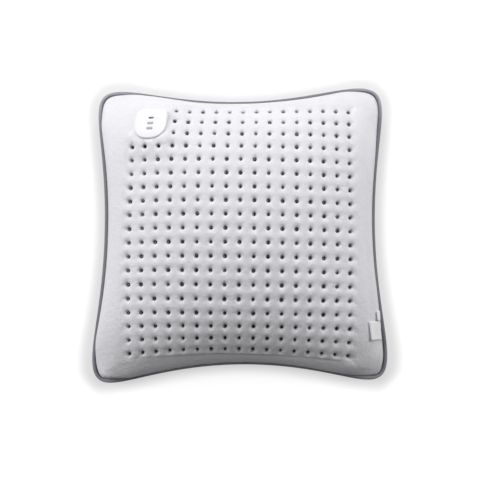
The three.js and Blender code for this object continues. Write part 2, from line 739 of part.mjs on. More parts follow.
// Pod outline: straight top edge, round bottom
function podLoop(inset, z, points = POD_POINTS) {
  return steps(points).map((i) => {
    const angle = (2 * PI * i) / points;
    const [c, s] = [cos(angle), sin(angle)];
    const power = s > 0 ? POD_BROW_SQUARENESS : POD_CHIN_SQUARENESS;
    const reach = (abs(c) ** power + abs(s) ** power) ** (-1 / power);
    const height = (s > 0 ? POD_BROW : POD_CHIN) - inset;
    return vec((POD_WIDTH / 2 - inset) * reach * c, height * reach * s, z);
  });
}

const podPrism = (inset, low, high, points) =>
  loft([podLoop(inset, low, points), podLoop(inset, high, points)]);

function post(x, y, radius, low, high, sides = 16) {
  const geometry = new THREE.CylinderGeometry(radius, radius, high - low, sides);
  return geometry.rotateX(PI / 2).translate(x, y, (low + high) / 2);
}

// Flat-ended rod with two round sides
const OBLONG_SIDES = 6;

function oblongLoop(width, length, z) {
  const flat = (length - width) / 2;
  const ends = spread(0, PI, OBLONG_SIDES);
  const half = (turn, shift) =>
    ends.map((a) => vec((width / 2) * cos(a + turn), (width / 2) * sin(a + turn) + shift, z));
  return [...half(0, flat), ...half(PI, -flat)];
}

const oblong = (width, length, low, high) =>
  loft([oblongLoop(width, length, low), oblongLoop(width, length, high)]);

const acrossPod = (geometry, y) => geometry.rotateZ(PI / 2).translate(0, y, 0);

const ceiling = POD_HEIGHT - POD_ROOF;
const screwPlaces = [-1, 1].flatMap((side) =>
  [SCREW_UPPER, SCREW_LOWER].map(([x, y]) => [side * x, y]),
);
const screwHoles = (low, high) =>
  screwPlaces.map(([x, y]) => post(x, y, SCREW_RADIUS + GAP, low, high, 10));

const DEEP = 40; // long enough to pass through any piece

const socketZ = boardTop + GAP + SOCKET_HEIGHT / 2;
const socketMouth = POD_BROW - SOCKET_SETBACK;
const socketPrism = (grow, from, to) =>
  oblong(SOCKET_HEIGHT + 2 * grow, SOCKET_WIDTH + 2 * grow, from, to)
    .rotateZ(PI / 2)
    .rotateX(-PI / 2)
    .translate(0, 0, socketZ);

function podTopShell() {
  const rim = spread(0, PI / 2, 3).map((a) =>
    podLoop(POD_EDGE * (1 - cos(a)), POD_HEIGHT - POD_EDGE * (1 - sin(a))),
  );
  const roof = [
    podLoop(POD_WIDTH / 5, POD_HEIGHT + POD_DOME * 0.6),
    podLoop(POD_WIDTH / 3, POD_HEIGHT + POD_DOME),
  ];
  const outside = loft([podLoop(0, 0), ...rim, ...roof]);
  const hollow = cut(outside, podPrism(POD_WALL, -1, ceiling));
  const bosses = screwPlaces.map(([x, y]) =>
    post(x, y, BOSS_RADIUS, boardTop + GAP, ceiling + POD_ROOF / 2),
  );
  const top = boardTop + GAP + SCREW_BITE + GAP;
  return cut(
    join(hollow, ...bosses),
    ...screwHoles(0, top),
    ...Object.values(KEYS).map((y) =>
      acrossPod(oblong(KEY_HEIGHT + 2 * GAP, KEY_WIDTH + 2 * GAP, ceiling - 1, DEEP), y),
    ),
    acrossPod(oblong(WINDOW_HEIGHT + 2 * GAP, WINDOW_WIDTH + 2 * GAP, ceiling - 1, DEEP), WINDOW_Y),
    socketPrism(GAP, POD_BROW - 2 * POD_WALL, DEEP),
  );
}

function podBase() {
  const plate = podPrism(POD_WALL + GAP, 0, BASE_THICKNESS);
  const neck = post(...NECK_AT, NECK_RADIUS, ringBottom, BASE_THICKNESS / 2, 24);
  const standoffs = screwPlaces.map(([x, y]) =>
    post(x, y, STANDOFF_RADIUS, BASE_THICKNESS / 2, BOARD_HEIGHT - GAP),
  );
  const bore = post(...NECK_AT, NECK_RADIUS - NECK_WALL, -DEEP, DEEP, 24);
  return cut(join(plate, neck, ...standoffs), bore, ...screwHoles(-DEEP, DEEP));
}

function clampRing() {
  const plate = podPrism(RING_INSET, ringBottom, ringTop);
  return cut(
    plate,
    post(...NECK_AT, NECK_RADIUS + GAP, -DEEP, DEEP, 24),
    ...screwHoles(-DEEP, DEEP),
  );
}

function board() {
  const plate = podPrism(POD_WALL + BOARD_INSET, BOARD_HEIGHT, boardTop);
  return cut(
    plate,
    post(...NECK_AT, BOARD_HOLE_RADIUS, -DEEP, DEEP, 20),
    ...screwHoles(-DEEP, DEEP),
  );
}

function screw([x, y]) {
  const head = ringBottom - GAP;
  const profile = [
    [0, head - SCREW_HEAD_HEIGHT],
    [SCREW_HEAD_RADIUS * 0.8, head - SCREW_HEAD_HEIGHT],
    [SCREW_HEAD_RADIUS, head - SCREW_HEAD_HEIGHT / 2],
    [SCREW_HEAD_RADIUS, head],
    [SCREW_RADIUS, head],
    [SCREW_RADIUS, boardTop + GAP + SCREW_BITE - SCREW_RADIUS],
    [0, boardTop + GAP + SCREW_BITE],
  ].map(([r, z]) => new THREE.Vector2(r, z));
  return new THREE.LatheGeometry(profile, 10).rotateX(PI / 2).translate(x, y, 0);
}

// Keys stand in their slots; a flange under the roof keeps each one in
const flangeTop = ceiling - GAP;
const flangeBottom = flangeTop - KEY_FLANGE_THICKNESS;
const keyTop = POD_HEIGHT + KEY_PROUD;
const KEY_CROWN = 0.4;

function key(y) {
  const grow = 2 * (GAP + KEY_FLANGE);
  const flange = oblong(KEY_HEIGHT + grow, KEY_WIDTH + grow, flangeBottom, flangeTop);
  const cap = loft([
    oblongLoop(KEY_HEIGHT, KEY_WIDTH, flangeTop - KEY_FLANGE_THICKNESS / 2),
    oblongLoop(KEY_HEIGHT, KEY_WIDTH, keyTop - KEY_CROWN),
    oblongLoop(KEY_HEIGHT - 2 * KEY_CROWN, KEY_WIDTH - 2 * KEY_CROWN, keyTop),
  ]);
  return acrossPod(join(flange, cap), y);
}

// Rubber dome that a key stands on, open at its foot
function keyDome(y) {
  const low = boardTop + GAP;
  const high = flangeBottom - GAP;
  const profile = [
    [DOME_BASE_RADIUS - DOME_WALL, low],
    [DOME_BASE_RADIUS, low],
    [DOME_BASE_RADIUS, low + DOME_WALL],
    [DOME_TOP_RADIUS, high],
    [0, high],
    [0, high - DOME_WALL],
    [DOME_TOP_RADIUS - DOME_WALL / 2, high - DOME_WALL],
  ].map(([r, z]) => new THREE.Vector2(r, z));
  const geometry = new THREE.LatheGeometry([...profile, profile[0]], 14);
  return geometry.rotateX(PI / 2).translate(0, y, 0);
}

// Smoked window with a light leg over each lamp
const ledTop = boardTop + GAP + LED_SIZE[2];

function ledWindow() {
  const grow = 2 * (GAP + KEY_FLANGE);
  const flange = oblong(WINDOW_HEIGHT + grow, WINDOW_WIDTH + grow, flangeBottom, flangeTop);
  const paneTop = POD_HEIGHT + WINDOW_PROUD;
  const pane = oblong(WINDOW_HEIGHT, WINDOW_WIDTH, flangeBottom + KEY_FLANGE_THICKNESS / 2, paneTop);
  const legs = [-1, 1].map((side) =>
    post((side * LED_SPACING) / 2, WINDOW_Y, LIGHT_LEG_RADIUS, ledTop + GAP, flangeTop, 10),
  );
  return join(acrossPod(join(flange, pane), WINDOW_Y), ...legs);
}

function onBoard([x, y], [width, length, height]) {
  const geometry = new THREE.BoxGeometry(width, length, height);
  return geometry.translate(x, y, boardTop + GAP + height / 2);
}

// Power inlet: a flat socket with a tongue, its mouth in the straight top edge of the pod
function powerSocket() {
  const body = socketPrism(0, socketMouth - SOCKET_LENGTH, socketMouth);
  const hollow = socketPrism(-SOCKET_WALL, socketMouth - SOCKET_LENGTH + SOCKET_BACK, DEEP);
  const reach = SOCKET_LENGTH - SOCKET_BACK / 2 - TONGUE_SETBACK;
  const tongue = new THREE.BoxGeometry(TONGUE_WIDTH, reach, TONGUE_HEIGHT);
  tongue.translate(0, socketMouth - TONGUE_SETBACK - reach / 2, socketZ);
  return join(cut(body, hollow), tongue);
}

// What the pod takes out of the soft layers: its seat, the clamp ring's bed, the neck and the screws
const SEAT_MARGIN = 1; // room round the pod and the clamp ring
const SEAT_POINTS = 24;

function podCutters() {
  const world = (geometry) => geometry.applyMatrix4(podFrame);
  return [
    podPrism(-SEAT_MARGIN, webTop, DEEP, SEAT_POINTS),
    podPrism(RING_INSET - SEAT_MARGIN, -DEEP, webBottom, SEAT_POINTS),
    post(...NECK_AT, NECK_RADIUS + GAP, -DEEP, DEEP, SEAT_POINTS / 2),
    ...screwPlaces.map(([x, y]) => post(x, y, SCREW_RADIUS + 2 * GAP, webBottom - 1, webTop + 1, 6)),
  ].map(world);
}

const POCKET_GROW = 3; // hollow in the filling, round the clamp ring
const POCKET_DEPTH = 13;
const fillingPocket = () =>
  podPrism(RING_INSET - POCKET_GROW, -POCKET_DEPTH, DEEP, SEAT_POINTS).applyMatrix4(podFrame);

// Assembly
const mesh = (name, geometry, material) => {
  const piece = new THREE.Mesh(geometry, material);
  piece.name = name;
  return piece;
};

const cushion = new THREE.Group();
cushion.add(
  mesh("front_cover", cut(frontCover(), ...podCutters()), velour),
  mesh("back_cover", backCover(), velour),
  mesh("cushion_filling", cut(filling(), fillingPocket()), fibre),
  mesh("piping_tape", sweep(tapeSection(), pipingPath, upright, true), pipingFabric),
  mesh("piping_cord", sweep(round(cordRadius, CORD_SIDES), pipingPath, upright, true), cordYarn),
);

const heater = new THREE.Group();
heater.add(
  mesh("heater_top_felt", feltSheet(topFeltDepth), felt),
  mesh("heater_bottom_felt", feltSheet(bottomFeltDepth), felt),
  mesh("heating_wire", sweep(round(WIRE_DIAMETER / 2, WIRE_SIDES), wire, upright), heatWire),
  mesh("feed_lead", sweep(round(LEAD_DIAMETER / 2, LEAD_SIDES), feedLead(), upright), leadJacket),
  mesh("return_lead_lower", sweep(round(LEAD_DIAMETER / 2, LEAD_SIDES), lowerReturnLead(), upright), leadJacket),
  mesh("return_lead_upper", sweep(round(LEAD_DIAMETER / 2, LEAD_SIDES), upperReturnLead(), upright), leadJacket),
  mesh("thermal_cutout", cutout(), steel),
);

const labels = new THREE.Group();
for (const [name, size] of Object.entries(LABELS)) labels.add(mesh(name, label(size), labelTape));

const pod = new THREE.Group();
pod.applyMatrix4(podFrame);
pod.add(
  mesh("pod_top_shell", podTopShell(), podPlastic),
  mesh("pod_base", podBase(), basePlastic),
  mesh("clamp_ring", clampRing(), basePlastic),
  mesh("circuit_board", board(), boardGreen),
  mesh("power_socket", powerSocket(), steel),
  mesh("heater_connector", onBoard(CONNECTOR_AT, CONNECTOR_SIZE), connectorWhite),
  mesh("control_chip", onBoard(CHIP_AT, CHIP_SIZE), chipBlack),
  mesh("led_window", ledWindow(), smokedLens),
);
for (const [name, y] of Object.entries(KEYS)) {
  pod.add(mesh(name, key(y), keyRubber), mesh(`${name}_dome`, keyDome(y), silicone));
}
for (const [side, name] of [[-1, "left_led"], [1, "right_led"]]) {
  pod.add(mesh(name, onBoard([(side * LED_SPACING) / 2, WINDOW_Y], LED_SIZE), ledClear));
}
screwPlaces.forEach((place, i) => pod.add(mesh(`pod_screw_${i + 1}`, screw(place), steel)));

const heatingCushion = new THREE.Group();
heatingCushion.add(cushion, heater, labels, pod);

export default heatingCushion;
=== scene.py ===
"""Looks of a heating cushion with a control pod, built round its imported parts.

Lengths are in millimetres in the part's own frame and become metres when a mesh is made. The
cushion lies on its back on the floor, +X to the right, +Y towards the edge that the pod is near,
+Z up.
"""

import math

import bpy
import numpy as np
from mathutils import Matrix, Quaternion, Vector
from mathutils.bvhtree import BVHTree


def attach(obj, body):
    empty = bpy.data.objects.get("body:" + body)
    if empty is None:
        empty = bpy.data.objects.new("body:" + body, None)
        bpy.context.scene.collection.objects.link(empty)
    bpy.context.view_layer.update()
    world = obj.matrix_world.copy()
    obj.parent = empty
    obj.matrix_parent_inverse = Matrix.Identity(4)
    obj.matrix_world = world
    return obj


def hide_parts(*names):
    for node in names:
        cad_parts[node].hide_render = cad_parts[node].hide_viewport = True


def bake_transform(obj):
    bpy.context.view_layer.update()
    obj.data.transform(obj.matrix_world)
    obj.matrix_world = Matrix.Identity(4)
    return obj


MM = 0.001

# Camera, fitted to the places of the tacks in a frame of 480 pixels
FRAME_PIXELS = 480
FOCAL_PIXELS = 845
CAMERA_DISTANCE = 1150
CAMERA_TILT = 0.128
SENSOR_WIDTH = 36
PAD_MIDDLE_PIXEL = (239.8, 230.6)

# Cushion form
PAD_WIDTH = 400
PAD_LENGTH = 406
WAIST_WIDTH = 368
WAIST_LENGTH = 360
SQUARENESS = 8
OUTLINE_SKEW = 0.012
CORNER_DRAW = (2.2, 1.5)
CORNER_DRAW_POWER = 10
SEAM_HEIGHT = 44
CORNER_DROOP = 24
CORNER_POWER = 4
CROWN_HEIGHT = 64
BACK_DEPTH = 56
CROWN_FULLNESS = 0.5
EDGE_FULLNESS = 0.2
COVER_INSET = 6.3
SEAM_HALF = 0.95
CORNER_CROWDING = 0.6
RIM = 0.25
EAR_ROW = -0.83
EAR_SOFT = 0.12
EAR_SIDE = (-0.92, -0.62)
EAR_SHARE = 0.75
EAR_EDGE = 0.06
FLARE_SAMPLES = 201
FLARE_ROUNDS = 40
PILLOW_ROUNDS = 30
NORMAL_STEP = 0.004
SEAM_NEARBY = 0.98
SEAM_STEP_BACK = 0.985

# Tacks
TACK_COLUMNS = 17
TACK_ROWS = 19
COLUMN_PITCH = 18.5
ROW_PITCH = 18.3556
TACK_FIELD_DROP = 2.4
TACK_FIELD_TURN = 0.0145
TACK_FIELD_PINCH = 0.019
LOWER_BOW = 8.2
BOWED_ROWS = 4
UPPER_LEAN = 2.2
LEANING_ROWS = 4
LEANT_ROWS = 2
LOWER_LEAN = 1.2
SINK = 2.3
SINK_ROWS = (1.5, 6.5)
SINK_EASE = 0.4
EASED_COLUMNS = (12, 17)
TOP_TILT = 2.4
TOP_SINK = 0.5
TILTED_ROWS = 3
POD_SAG = 1.7
POD_SAG_COLUMN = 1
POD_SAG_SPREAD = 2
LOWER_SINK = 0.5
LOWER_SINK_ROWS = (12, 16)
TACK_ARC_RADIUS = 667
BARE_COLUMNS = 3
BARE_ROWS = 3
PIT_DEPTH = 4.8
PIT_RADIUS = 2.3
DIMPLE_DEPTH = 0.9
DIMPLE_RADIUS = 6.5
# Radii over which the crushed pile and painted shade of each tack pit fade out
PIT_CRUSH_AND_SHADE_RADIUS = (1.8, 3.0)
TACK_STRETCH = 0.5

# Pod
POD_X = -117.8
POD_Y = 136.5
POD_WIDTH = 43.5
POD_BROW = 23.6
POD_CHIN = 23.2
POD_BROW_SQUARENESS = 5.5
POD_CHIN_SQUARENESS = 2.3
POD_HEIGHT = 9.2
POD_DOME = 0.8
POD_EDGE = 2.2
POD_WALL = 1.6
POD_ROOF = 1.5
POD_LIFT = -1.5
POD_YAW = -0.07
KEY_PLACES = {"power_key": -0.5, "heat_key": -8.5}
KEY_WIDTH = 8.4
KEY_HEIGHT = 3.6
KEY_PROUD = 1.2
DOME_BASE_RADIUS = 3
DOME_TOP_RADIUS = 1.7
DOME_WALL = 0.6
DOME_LOW = 3.9
DOME_HIGH = 6.3
WINDOW_Y = 8
WINDOW_WIDTH = 7.4
WINDOW_HEIGHT = 2.4
WINDOW_PROUD = 0.5
SLOT_GAP = 0.3
SLOT_EDGE = 0.25
CUT_PAST = 1
ABOVE_POD = 20
POD_FOOT = ((0.7, 0.0), (0.2, 0.25), (0, 0.8))
POD_ROOF_REACH = 6
POD_ROOF_FULLNESS = 1.2
POD_ROOF_START = 0.15
INLET_WIDTH = 9.5
INLET_HEIGHT = 3.8
INLET_LEVEL = 5.5
INLET_SPAN = (-4, 6)
FLANGE_LOW = 6.6
FLANGE_WIDER = 2.4
CAP_CROWN = 0.12
KEY_EDGE = 0.5
WINDOW_EDGE = 0.3
PATCH_FULL = 1.3
PATCH_END = 3.0
PATCH_PROUD = 2.6

PIPING_DIAMETER = 6

LABELS = {
    "care_label": {"y": -135.6, "width": 24.5, "length": 26.5},
    "side_label": {"y": -115.7, "width": 13, "length": 12},
}

COLUMN_CELLS = TACK_COLUMNS - 1
ROW_CELLS = TACK_ROWS - 1
POD_REACH = (POD_BROW + POD_CHIN) / 2


def lerp(a, b, share):
    return a + (b - a) * share


def smoothstep(value, low, high):
    t = np.clip((value - low) / (high - low), 0, 1)
    return t * t * (3 - 2 * t)


# Form of the cushion: pillow coordinates run from -1 to 1, and the outline is where X^n + Y^n is 1


def flare_for(waist, reach):
    y = np.linspace(0, 1, FLARE_SAMPLES)
    x = (1 - y**SQUARENESS) ** (1 / SQUARENESS)
    flare = reach - waist
    for _ in range(FLARE_ROUNDS):
        flare += reach - np.max(x * (waist + flare * y * y))
    return flare


FLARE_X = flare_for(WAIST_WIDTH / 2, PAD_WIDTH / 2)
FLARE_Y = flare_for(WAIST_LENGTH / 2, PAD_LENGTH / 2)


def plan(X, Y, inset):
    x = X * (WAIST_WIDTH / 2 - inset + FLARE_X * Y * Y)
    y = Y * (WAIST_LENGTH / 2 - inset + FLARE_Y * X * X) + OUTLINE_SKEW * x
    left, up = np.clip(-X, 0, 1), np.clip(Y, 0, 1)
    inwards = CORNER_DRAW[0] * left**CORNER_DRAW_POWER * up
    downwards = CORNER_DRAW[1] * up**CORNER_DRAW_POWER * left
    return x + inwards, y - downwards


def pillow(x, y, inset=COVER_INSET):
    X = np.zeros_like(np.asarray(x, float))
    Y = np.zeros_like(X)
    for _ in range(PILLOW_ROUNDS):
        X = x / (WAIST_WIDTH / 2 - inset + FLARE_X * Y * Y)
        Y = (y - OUTLINE_SKEW * x) / (WAIST_LENGTH / 2 - inset + FLARE_Y * X * X)
    return X, Y


def corner_share(X, Y):
    return (X * Y) ** CORNER_POWER * 2 ** (2 * CORNER_POWER / SQUARENESS)


def seam_height(X, Y):
    return SEAM_HEIGHT - CORNER_DROOP * corner_share(X, Y)


def inside_share(X, Y):
    """1 in the middle of the cushion, and 0 on its outline and past it."""
    return np.clip(1 - np.abs(X) ** SQUARENESS - np.abs(Y) ** SQUARENESS, 0, 1)


def crown(X, Y):
    fall = np.clip((1 - X * X) * (1 - Y * Y), 0, 1)
    return fall**CROWN_FULLNESS * inside_share(X, Y) ** EDGE_FULLNESS


def bare_front(X, Y):
    return seam_height(X, Y) + SEAM_HALF + CROWN_HEIGHT * crown(X, Y)


def bare_front_at(x, y):
    return float(bare_front(*pillow(float(x), float(y))))


def pod_frame():
    half = POD_WIDTH / 2
    slope_x = bare_front_at(POD_X - half, POD_Y) - bare_front_at(POD_X + half, POD_Y)
    slope_y = bare_front_at(POD_X, POD_Y - POD_REACH) - bare_front_at(POD_X, POD_Y + POD_REACH)
    normal = Vector((slope_x, slope_y * half / POD_REACH, POD_WIDTH)).normalized()
    turn = Vector((0, 0, 1)).rotation_difference(normal) @ Quaternion((0, 0, 1), POD_YAW)
    place = Vector((POD_X, POD_Y, bare_front_at(POD_X, POD_Y) + POD_LIFT))
    return place, turn


POD_PLACE, POD_TURN = pod_frame()


def lower_left_ear(X, Y):
    """Height that fills the lower left corner, where the cover stays nearly level to the seam."""
    kept = (Y + EAR_ROW + np.hypot(Y - EAR_ROW, EAR_SOFT)) / 2
    full = 1 - smoothstep(X, *EAR_SIDE)
    lift = np.maximum(bare_front(X, kept) - bare_front(X, Y), 0)
    return EAR_SHARE * full * lift * inside_share(X, Y) ** EAR_EDGE


def front(X, Y):
    x, y = plan(X, Y, COVER_INSET)
    away = np.hypot((x - POD_X) / (POD_WIDTH / 2), (y - POD_Y) / POD_REACH)
    flat = 1 - smoothstep(away, PATCH_FULL, PATCH_END)
    z = bare_front(X, Y) + PATCH_PROUD * flat + lower_left_ear(X, Y)
    return np.stack(np.broadcast_arrays(x, y, z), -1)


def front_normal(X, Y):
    near_seam = np.abs(X) ** SQUARENESS + np.abs(Y) ** SQUARENESS > SEAM_NEARBY
    inward = np.where(near_seam, SEAM_STEP_BACK, 1)
    u, v = X * inward, Y * inward
    across = front(u + NORMAL_STEP, v) - front(u - NORMAL_STEP, v)
    along = front(u, v + NORMAL_STEP) - front(u, v - NORMAL_STEP)
    normal = np.cross(across, along)
    return normal / np.linalg.norm(normal, axis=-1, keepdims=True)


def on_outline(X, Y):
    shrink = (np.abs(X) ** SQUARENESS + np.abs(Y) ** SQUARENESS) ** (-1 / SQUARENESS)
    return X * shrink, Y * shrink


def cell_places(cells, steps):
    """Places along a row of tack cells, with as many steps in each, and a little past both ends."""
    past = [-RIM] + [step - 1 for step in steps if step > 1 - RIM]
    inside = (np.arange(cells)[:, None] + np.array(steps)).ravel()
    return np.concatenate([past, inside, [cells], cells - np.array(past[::-1])])


def side_stations(cells, steps):
    t = (cell_places(cells, steps)[:-1] + RIM) * 2 / (cells + 2 * RIM) - 1
    return lerp(t, np.sin(t * math.pi / 2), CORNER_CROWDING)


def outline_stations(steps):
    """Right side upwards, top leftwards, left side downwards, bottom rightwards."""
    rows, columns = side_stations(ROW_CELLS, steps), side_stations(COLUMN_CELLS, steps)
    one_row, one_column = np.ones_like(rows), np.ones_like(columns)
    X = np.concatenate([one_row, -columns, -one_row, columns])
    Y = np.concatenate([rows, one_column, -rows, -one_column])
    return on_outline(X, Y)


def drawn(flat):
    return TACK_ARC_RADIUS * np.sin(flat / TACK_ARC_RADIUS)


def field(column, row):
    across = column / (COLUMN_CELLS / 2) - 1
    along = 1 - row / (ROW_CELLS / 2)
    low = np.clip((row - (ROW_CELLS - BOWED_ROWS)) / BOWED_ROWS, 0, 1)
    pinch = 1 - TACK_FIELD_PINCH * along * along
    x = drawn((column - COLUMN_CELLS / 2) * COLUMN_PITCH) * pinch
    y = drawn((ROW_CELLS / 2 - row) * ROW_PITCH - TACK_FIELD_DROP)
    y = y + LOWER_BOW * (1 - across * across) * low * low
    eased = 1 - SINK_EASE * smoothstep(column, *EASED_COLUMNS)
    y = y - SINK * smoothstep(row, *SINK_ROWS) * eased
    y = y - LOWER_SINK * smoothstep(row, *LOWER_SINK_ROWS)
    y = y + (TOP_TILT * across - TOP_SINK) * np.clip(1 - row / TILTED_ROWS, 0, 1)
    beside_pod = (column - POD_SAG_COLUMN) / POD_SAG_SPREAD
    y = y - POD_SAG * np.exp(-(beside_pod**2) - (row - BARE_ROWS) ** 2)
    x = x + UPPER_LEAN * np.clip(1 - row / LEANING_ROWS, 0, 1)
    x = x + LOWER_LEAN * smoothstep(row, ROW_CELLS - LEANING_ROWS, ROW_CELLS - LEANT_ROWS)
    return pillow(x + TACK_FIELD_TURN * y, y - TACK_FIELD_TURN * x)


def has_tack(column, row):
    return (column >= BARE_COLUMNS) | (row >= BARE_ROWS)


# Meshes

SHARP_ANGLE = math.radians(50)
BEVEL_ANGLE = math.radians(35)


def new_object(name, points, faces):
    mesh = bpy.data.meshes.new(name)
    mesh.from_pydata((np.asarray(points) * MM).tolist(), [], faces)
    mesh.validate()
    mesh.update()
    mesh.shade_smooth()
    piece = bpy.data.objects.new(name, mesh)
    bpy.context.scene.collection.objects.link(piece)
    return piece


def ring_faces(lower, upper):
    count = len(lower)
    return [
        (lower[i], lower[(i + 1) % count], upper[(i + 1) % count], upper[i]) for i in range(count)
    ]


def loft(name, loops):
    """Loops of as many points, joined one after another and closed at both ends."""
    count = len(loops[0])
    points = np.concatenate(loops)
    index = np.arange(len(points)).reshape(len(loops), count).tolist()
    faces = [face for low, high in zip(index, index[1:]) for face in ring_faces(low, high)]
    faces.append(tuple(reversed(index[0])))
    faces.append(tuple(index[-1]))
    return new_object(name, points, faces)


def apply_modifiers(piece):
    graph = bpy.context.evaluated_depsgraph_get()
    mesh = bpy.data.meshes.new_from_object(piece.evaluated_get(graph))
    piece.modifiers.clear()
    old = piece.data
    piece.data = mesh
    bpy.data.meshes.remove(old)
    return piece


def subdivide(piece):
    modifier = piece.modifiers.new("smooth", "SUBSURF")
    modifier.levels = 1
    return apply_modifiers(piece)


def cut(piece, *tools):
    for tool in tools:
        modifier = piece.modifiers.new("cut", "BOOLEAN")
        modifier.operation = "DIFFERENCE"
        modifier.solver = "EXACT"
        modifier.object = tool
    apply_modifiers(piece)
    for tool in tools:
        bpy.data.objects.remove(tool)
    return piece


def soften(piece, width):
    """Rounds the sharp edges and keeps the rest smooth."""
    modifier = piece.modifiers.new("edge", "BEVEL")
    modifier.width = width * MM
    modifier.segments = 2
    modifier.limit_method = "ANGLE"
    modifier.angle_limit = BEVEL_ANGLE
    modifier.use_clamp_overlap = True
    apply_modifiers(piece)
    piece.data.shade_smooth()
    piece.data.set_sharp_from_angle(angle=SHARP_ANGLE)
    return piece


def float_attribute(piece, name, values):
    attribute = piece.data.attributes.new(name, "FLOAT", "POINT")
    attribute.data.foreach_set("value", np.asarray(values, np.float32))


# Shader maths

SEEING_RAYS = ("Camera", "Glossy", "Transmission")
SOCKETS = {"specular": "Specular IOR Level"}
CLOTH_SPECULAR = 0.1


class Value:
    """A socket that a node puts out, with the operators that its maths uses."""

    def __init__(self, nodes, socket):
        self.nodes = nodes
        self.socket = socket

    def maths(self, operation, *others):
        return self.nodes.node("Math", {"operation": operation}, dict(enumerate((self, *others))))

    def __add__(self, other):
        return self.maths("ADD", other)

    __radd__ = __add__

    def __mul__(self, other):
        return self.maths("MULTIPLY", other)

    __rmul__ = __mul__

    def __sub__(self, other):
        return self.maths("SUBTRACT", other)

    def __rsub__(self, other):
        return self.nodes.node("Math", {"operation": "SUBTRACT"}, {0: other, 1: self})

    def __truediv__(self, other):
        return self.maths("DIVIDE", other)

    def __pow__(self, other):
        return self.maths("POWER", other)

    def clamped(self):
        return self.nodes.node("Clamp", {}, {"Value": self})


class Nodes:
    """One tree of nodes; constant values go straight to their sockets."""

    def __init__(self, tree):
        self.tree = tree

    def set(self, node, key, value):
        socket = node.inputs[key]
        if isinstance(value, Value):
            self.tree.links.new(value.socket, socket)
        elif isinstance(value, tuple) and len(value) == 3 and socket.type == "RGBA":
            socket.default_value = (*value, 1)
        else:
            socket.default_value = value

    def node(self, kind, settings, inputs, output=0):
        made = self.tree.nodes.new("ShaderNode" + kind)
        for name, value in settings.items():
            setattr(made, name, value)
        for key, value in inputs.items():
            self.set(made, key, value)
        return Value(self, made.outputs[output])

    def seen(self):
        """1 for rays from the camera, metal or glass, and 0 for light that falls on the object."""
        rays = [self.node("LightPath", {}, {}, f"Is {ray} Ray") for ray in SEEING_RAYS]
        return rays[0].maths("MAXIMUM", rays[1]).maths("MAXIMUM", rays[2])


class Shade(Nodes):
    """A material with one Principled surface."""

    def __init__(self, name, **constant):
        self.material = bpy.data.materials.new(name)
        self.material.use_nodes = True
        super().__init__(self.material.node_tree)
        self.surface = next(n for n in self.tree.nodes if n.type == "BSDF_PRINCIPLED")
        self.feed(**constant)

    def place(self):
        return self.node("TexCoord", {}, {}, "Object")

    def attribute(self, name):
        return self.node("Attribute", {"attribute_name": name}, {}, "Fac")

    def noise(self, scale, detail=2.0, roughness=0.5, vector=None):
        inputs = {"Vector": vector or self.place(), "Scale": scale, "Detail": detail}
        return self.node("TexNoise", {}, {**inputs, "Roughness": roughness}, "Fac")

    def stretched(self, x, y, z):
        return self.node("Mapping", {}, {"Vector": self.place(), "Scale": (x, y, z)})

    def mix(self, factor, first, second):
        return self.node("Mix", {"data_type": "RGBA"}, {0: factor, 6: first, 7: second}, 2)

    def bump(self, height, distance, strength=1.0):
        inputs = {"Height": height, "Distance": distance, "Strength": strength}
        return self.node("Bump", {}, inputs)

    def feed(self, **values):
        for socket, value in values.items():
            title = SOCKETS.get(socket, socket.replace("_", " ").title())
            self.set(self.surface, title, value)
        return self.material


def paint(piece, material):
    piece.data.materials.clear()
    piece.data.materials.append(material)
    return piece


# Materials


def velour():
    """Short pale pile: fine nap, brushed patches, and crushed pile with painted shade in the tacks.
    """
    shade = Shade(
        "velour", roughness=0.9, specular=CLOTH_SPECULAR, sheen_weight=0.25, sheen_roughness=0.45
    )
    nap = shade.noise(900, 3.0, 0.6)
    tuft = shade.noise(330, 2.0, 0.55)
    brushed = shade.noise(1, 3.0, 0.6, shade.stretched(16, 30, 24))
    crushed_pile_and_shade = shade.attribute("tack")
    pale = shade.mix((brushed - 0.3).clamped(), (0.74, 0.738, 0.77), (0.80, 0.797, 0.825))
    grained = shade.mix((nap * 0.4 + tuft * 0.6 - 0.35).clamped() * 0.5, pale, (0.60, 0.597, 0.63))
    # Near-black in the tack pits: crushed pile, and painted shade of the deep holes.
    colour = shade.mix(crushed_pile_and_shade, grained, (0.035, 0.035, 0.042))
    lump = shade.noise(150, 2.0, 0.5)
    normal = shade.bump(nap * 0.5 + tuft + lump * 1.2, 0.0008, 0.65)
    return shade.feed(base_color=colour, normal=normal)


def piping_cloth():
    """Close grey bias tape: a fine diagonal weave along and round the cord."""
    shade = Shade("piping_cloth", roughness=0.8, specular=CLOTH_SPECULAR, sheen_weight=0.15)
    along, around = shade.attribute("along"), shade.attribute("around")
    warp = ((along * 3900 + around * 60).maths("SINE") * 0.5 + 0.5).clamped()
    weft = ((along * 3900 - around * 60).maths("SINE") * 0.5 + 0.5).clamped()
    threads = warp.maths("MAXIMUM", weft)
    patch = shade.noise(60, 2.0)
    base = shade.mix(patch, (0.34, 0.345, 0.385), (0.43, 0.435, 0.475))
    woven = shade.mix(threads * 0.5 + 0.3, (0.25, 0.255, 0.29), base)
    # Painted shade in the crease where the piping meets the cover
    crease_shade = ((around.maths("ABSOLUTE") - 1.9) * 1.3).clamped()
    crease_shaded = shade.mix(crease_shade, woven, (0.10, 0.10, 0.12))
    # Painted shade on the piping where the cover's wall hangs over it
    colour = shade.mix(shade.attribute("overhang_shade") * 0.6, crease_shaded, (0.12, 0.12, 0.14))
    return shade.feed(base_color=colour, normal=shade.bump(threads, 0.0002, 0.5))


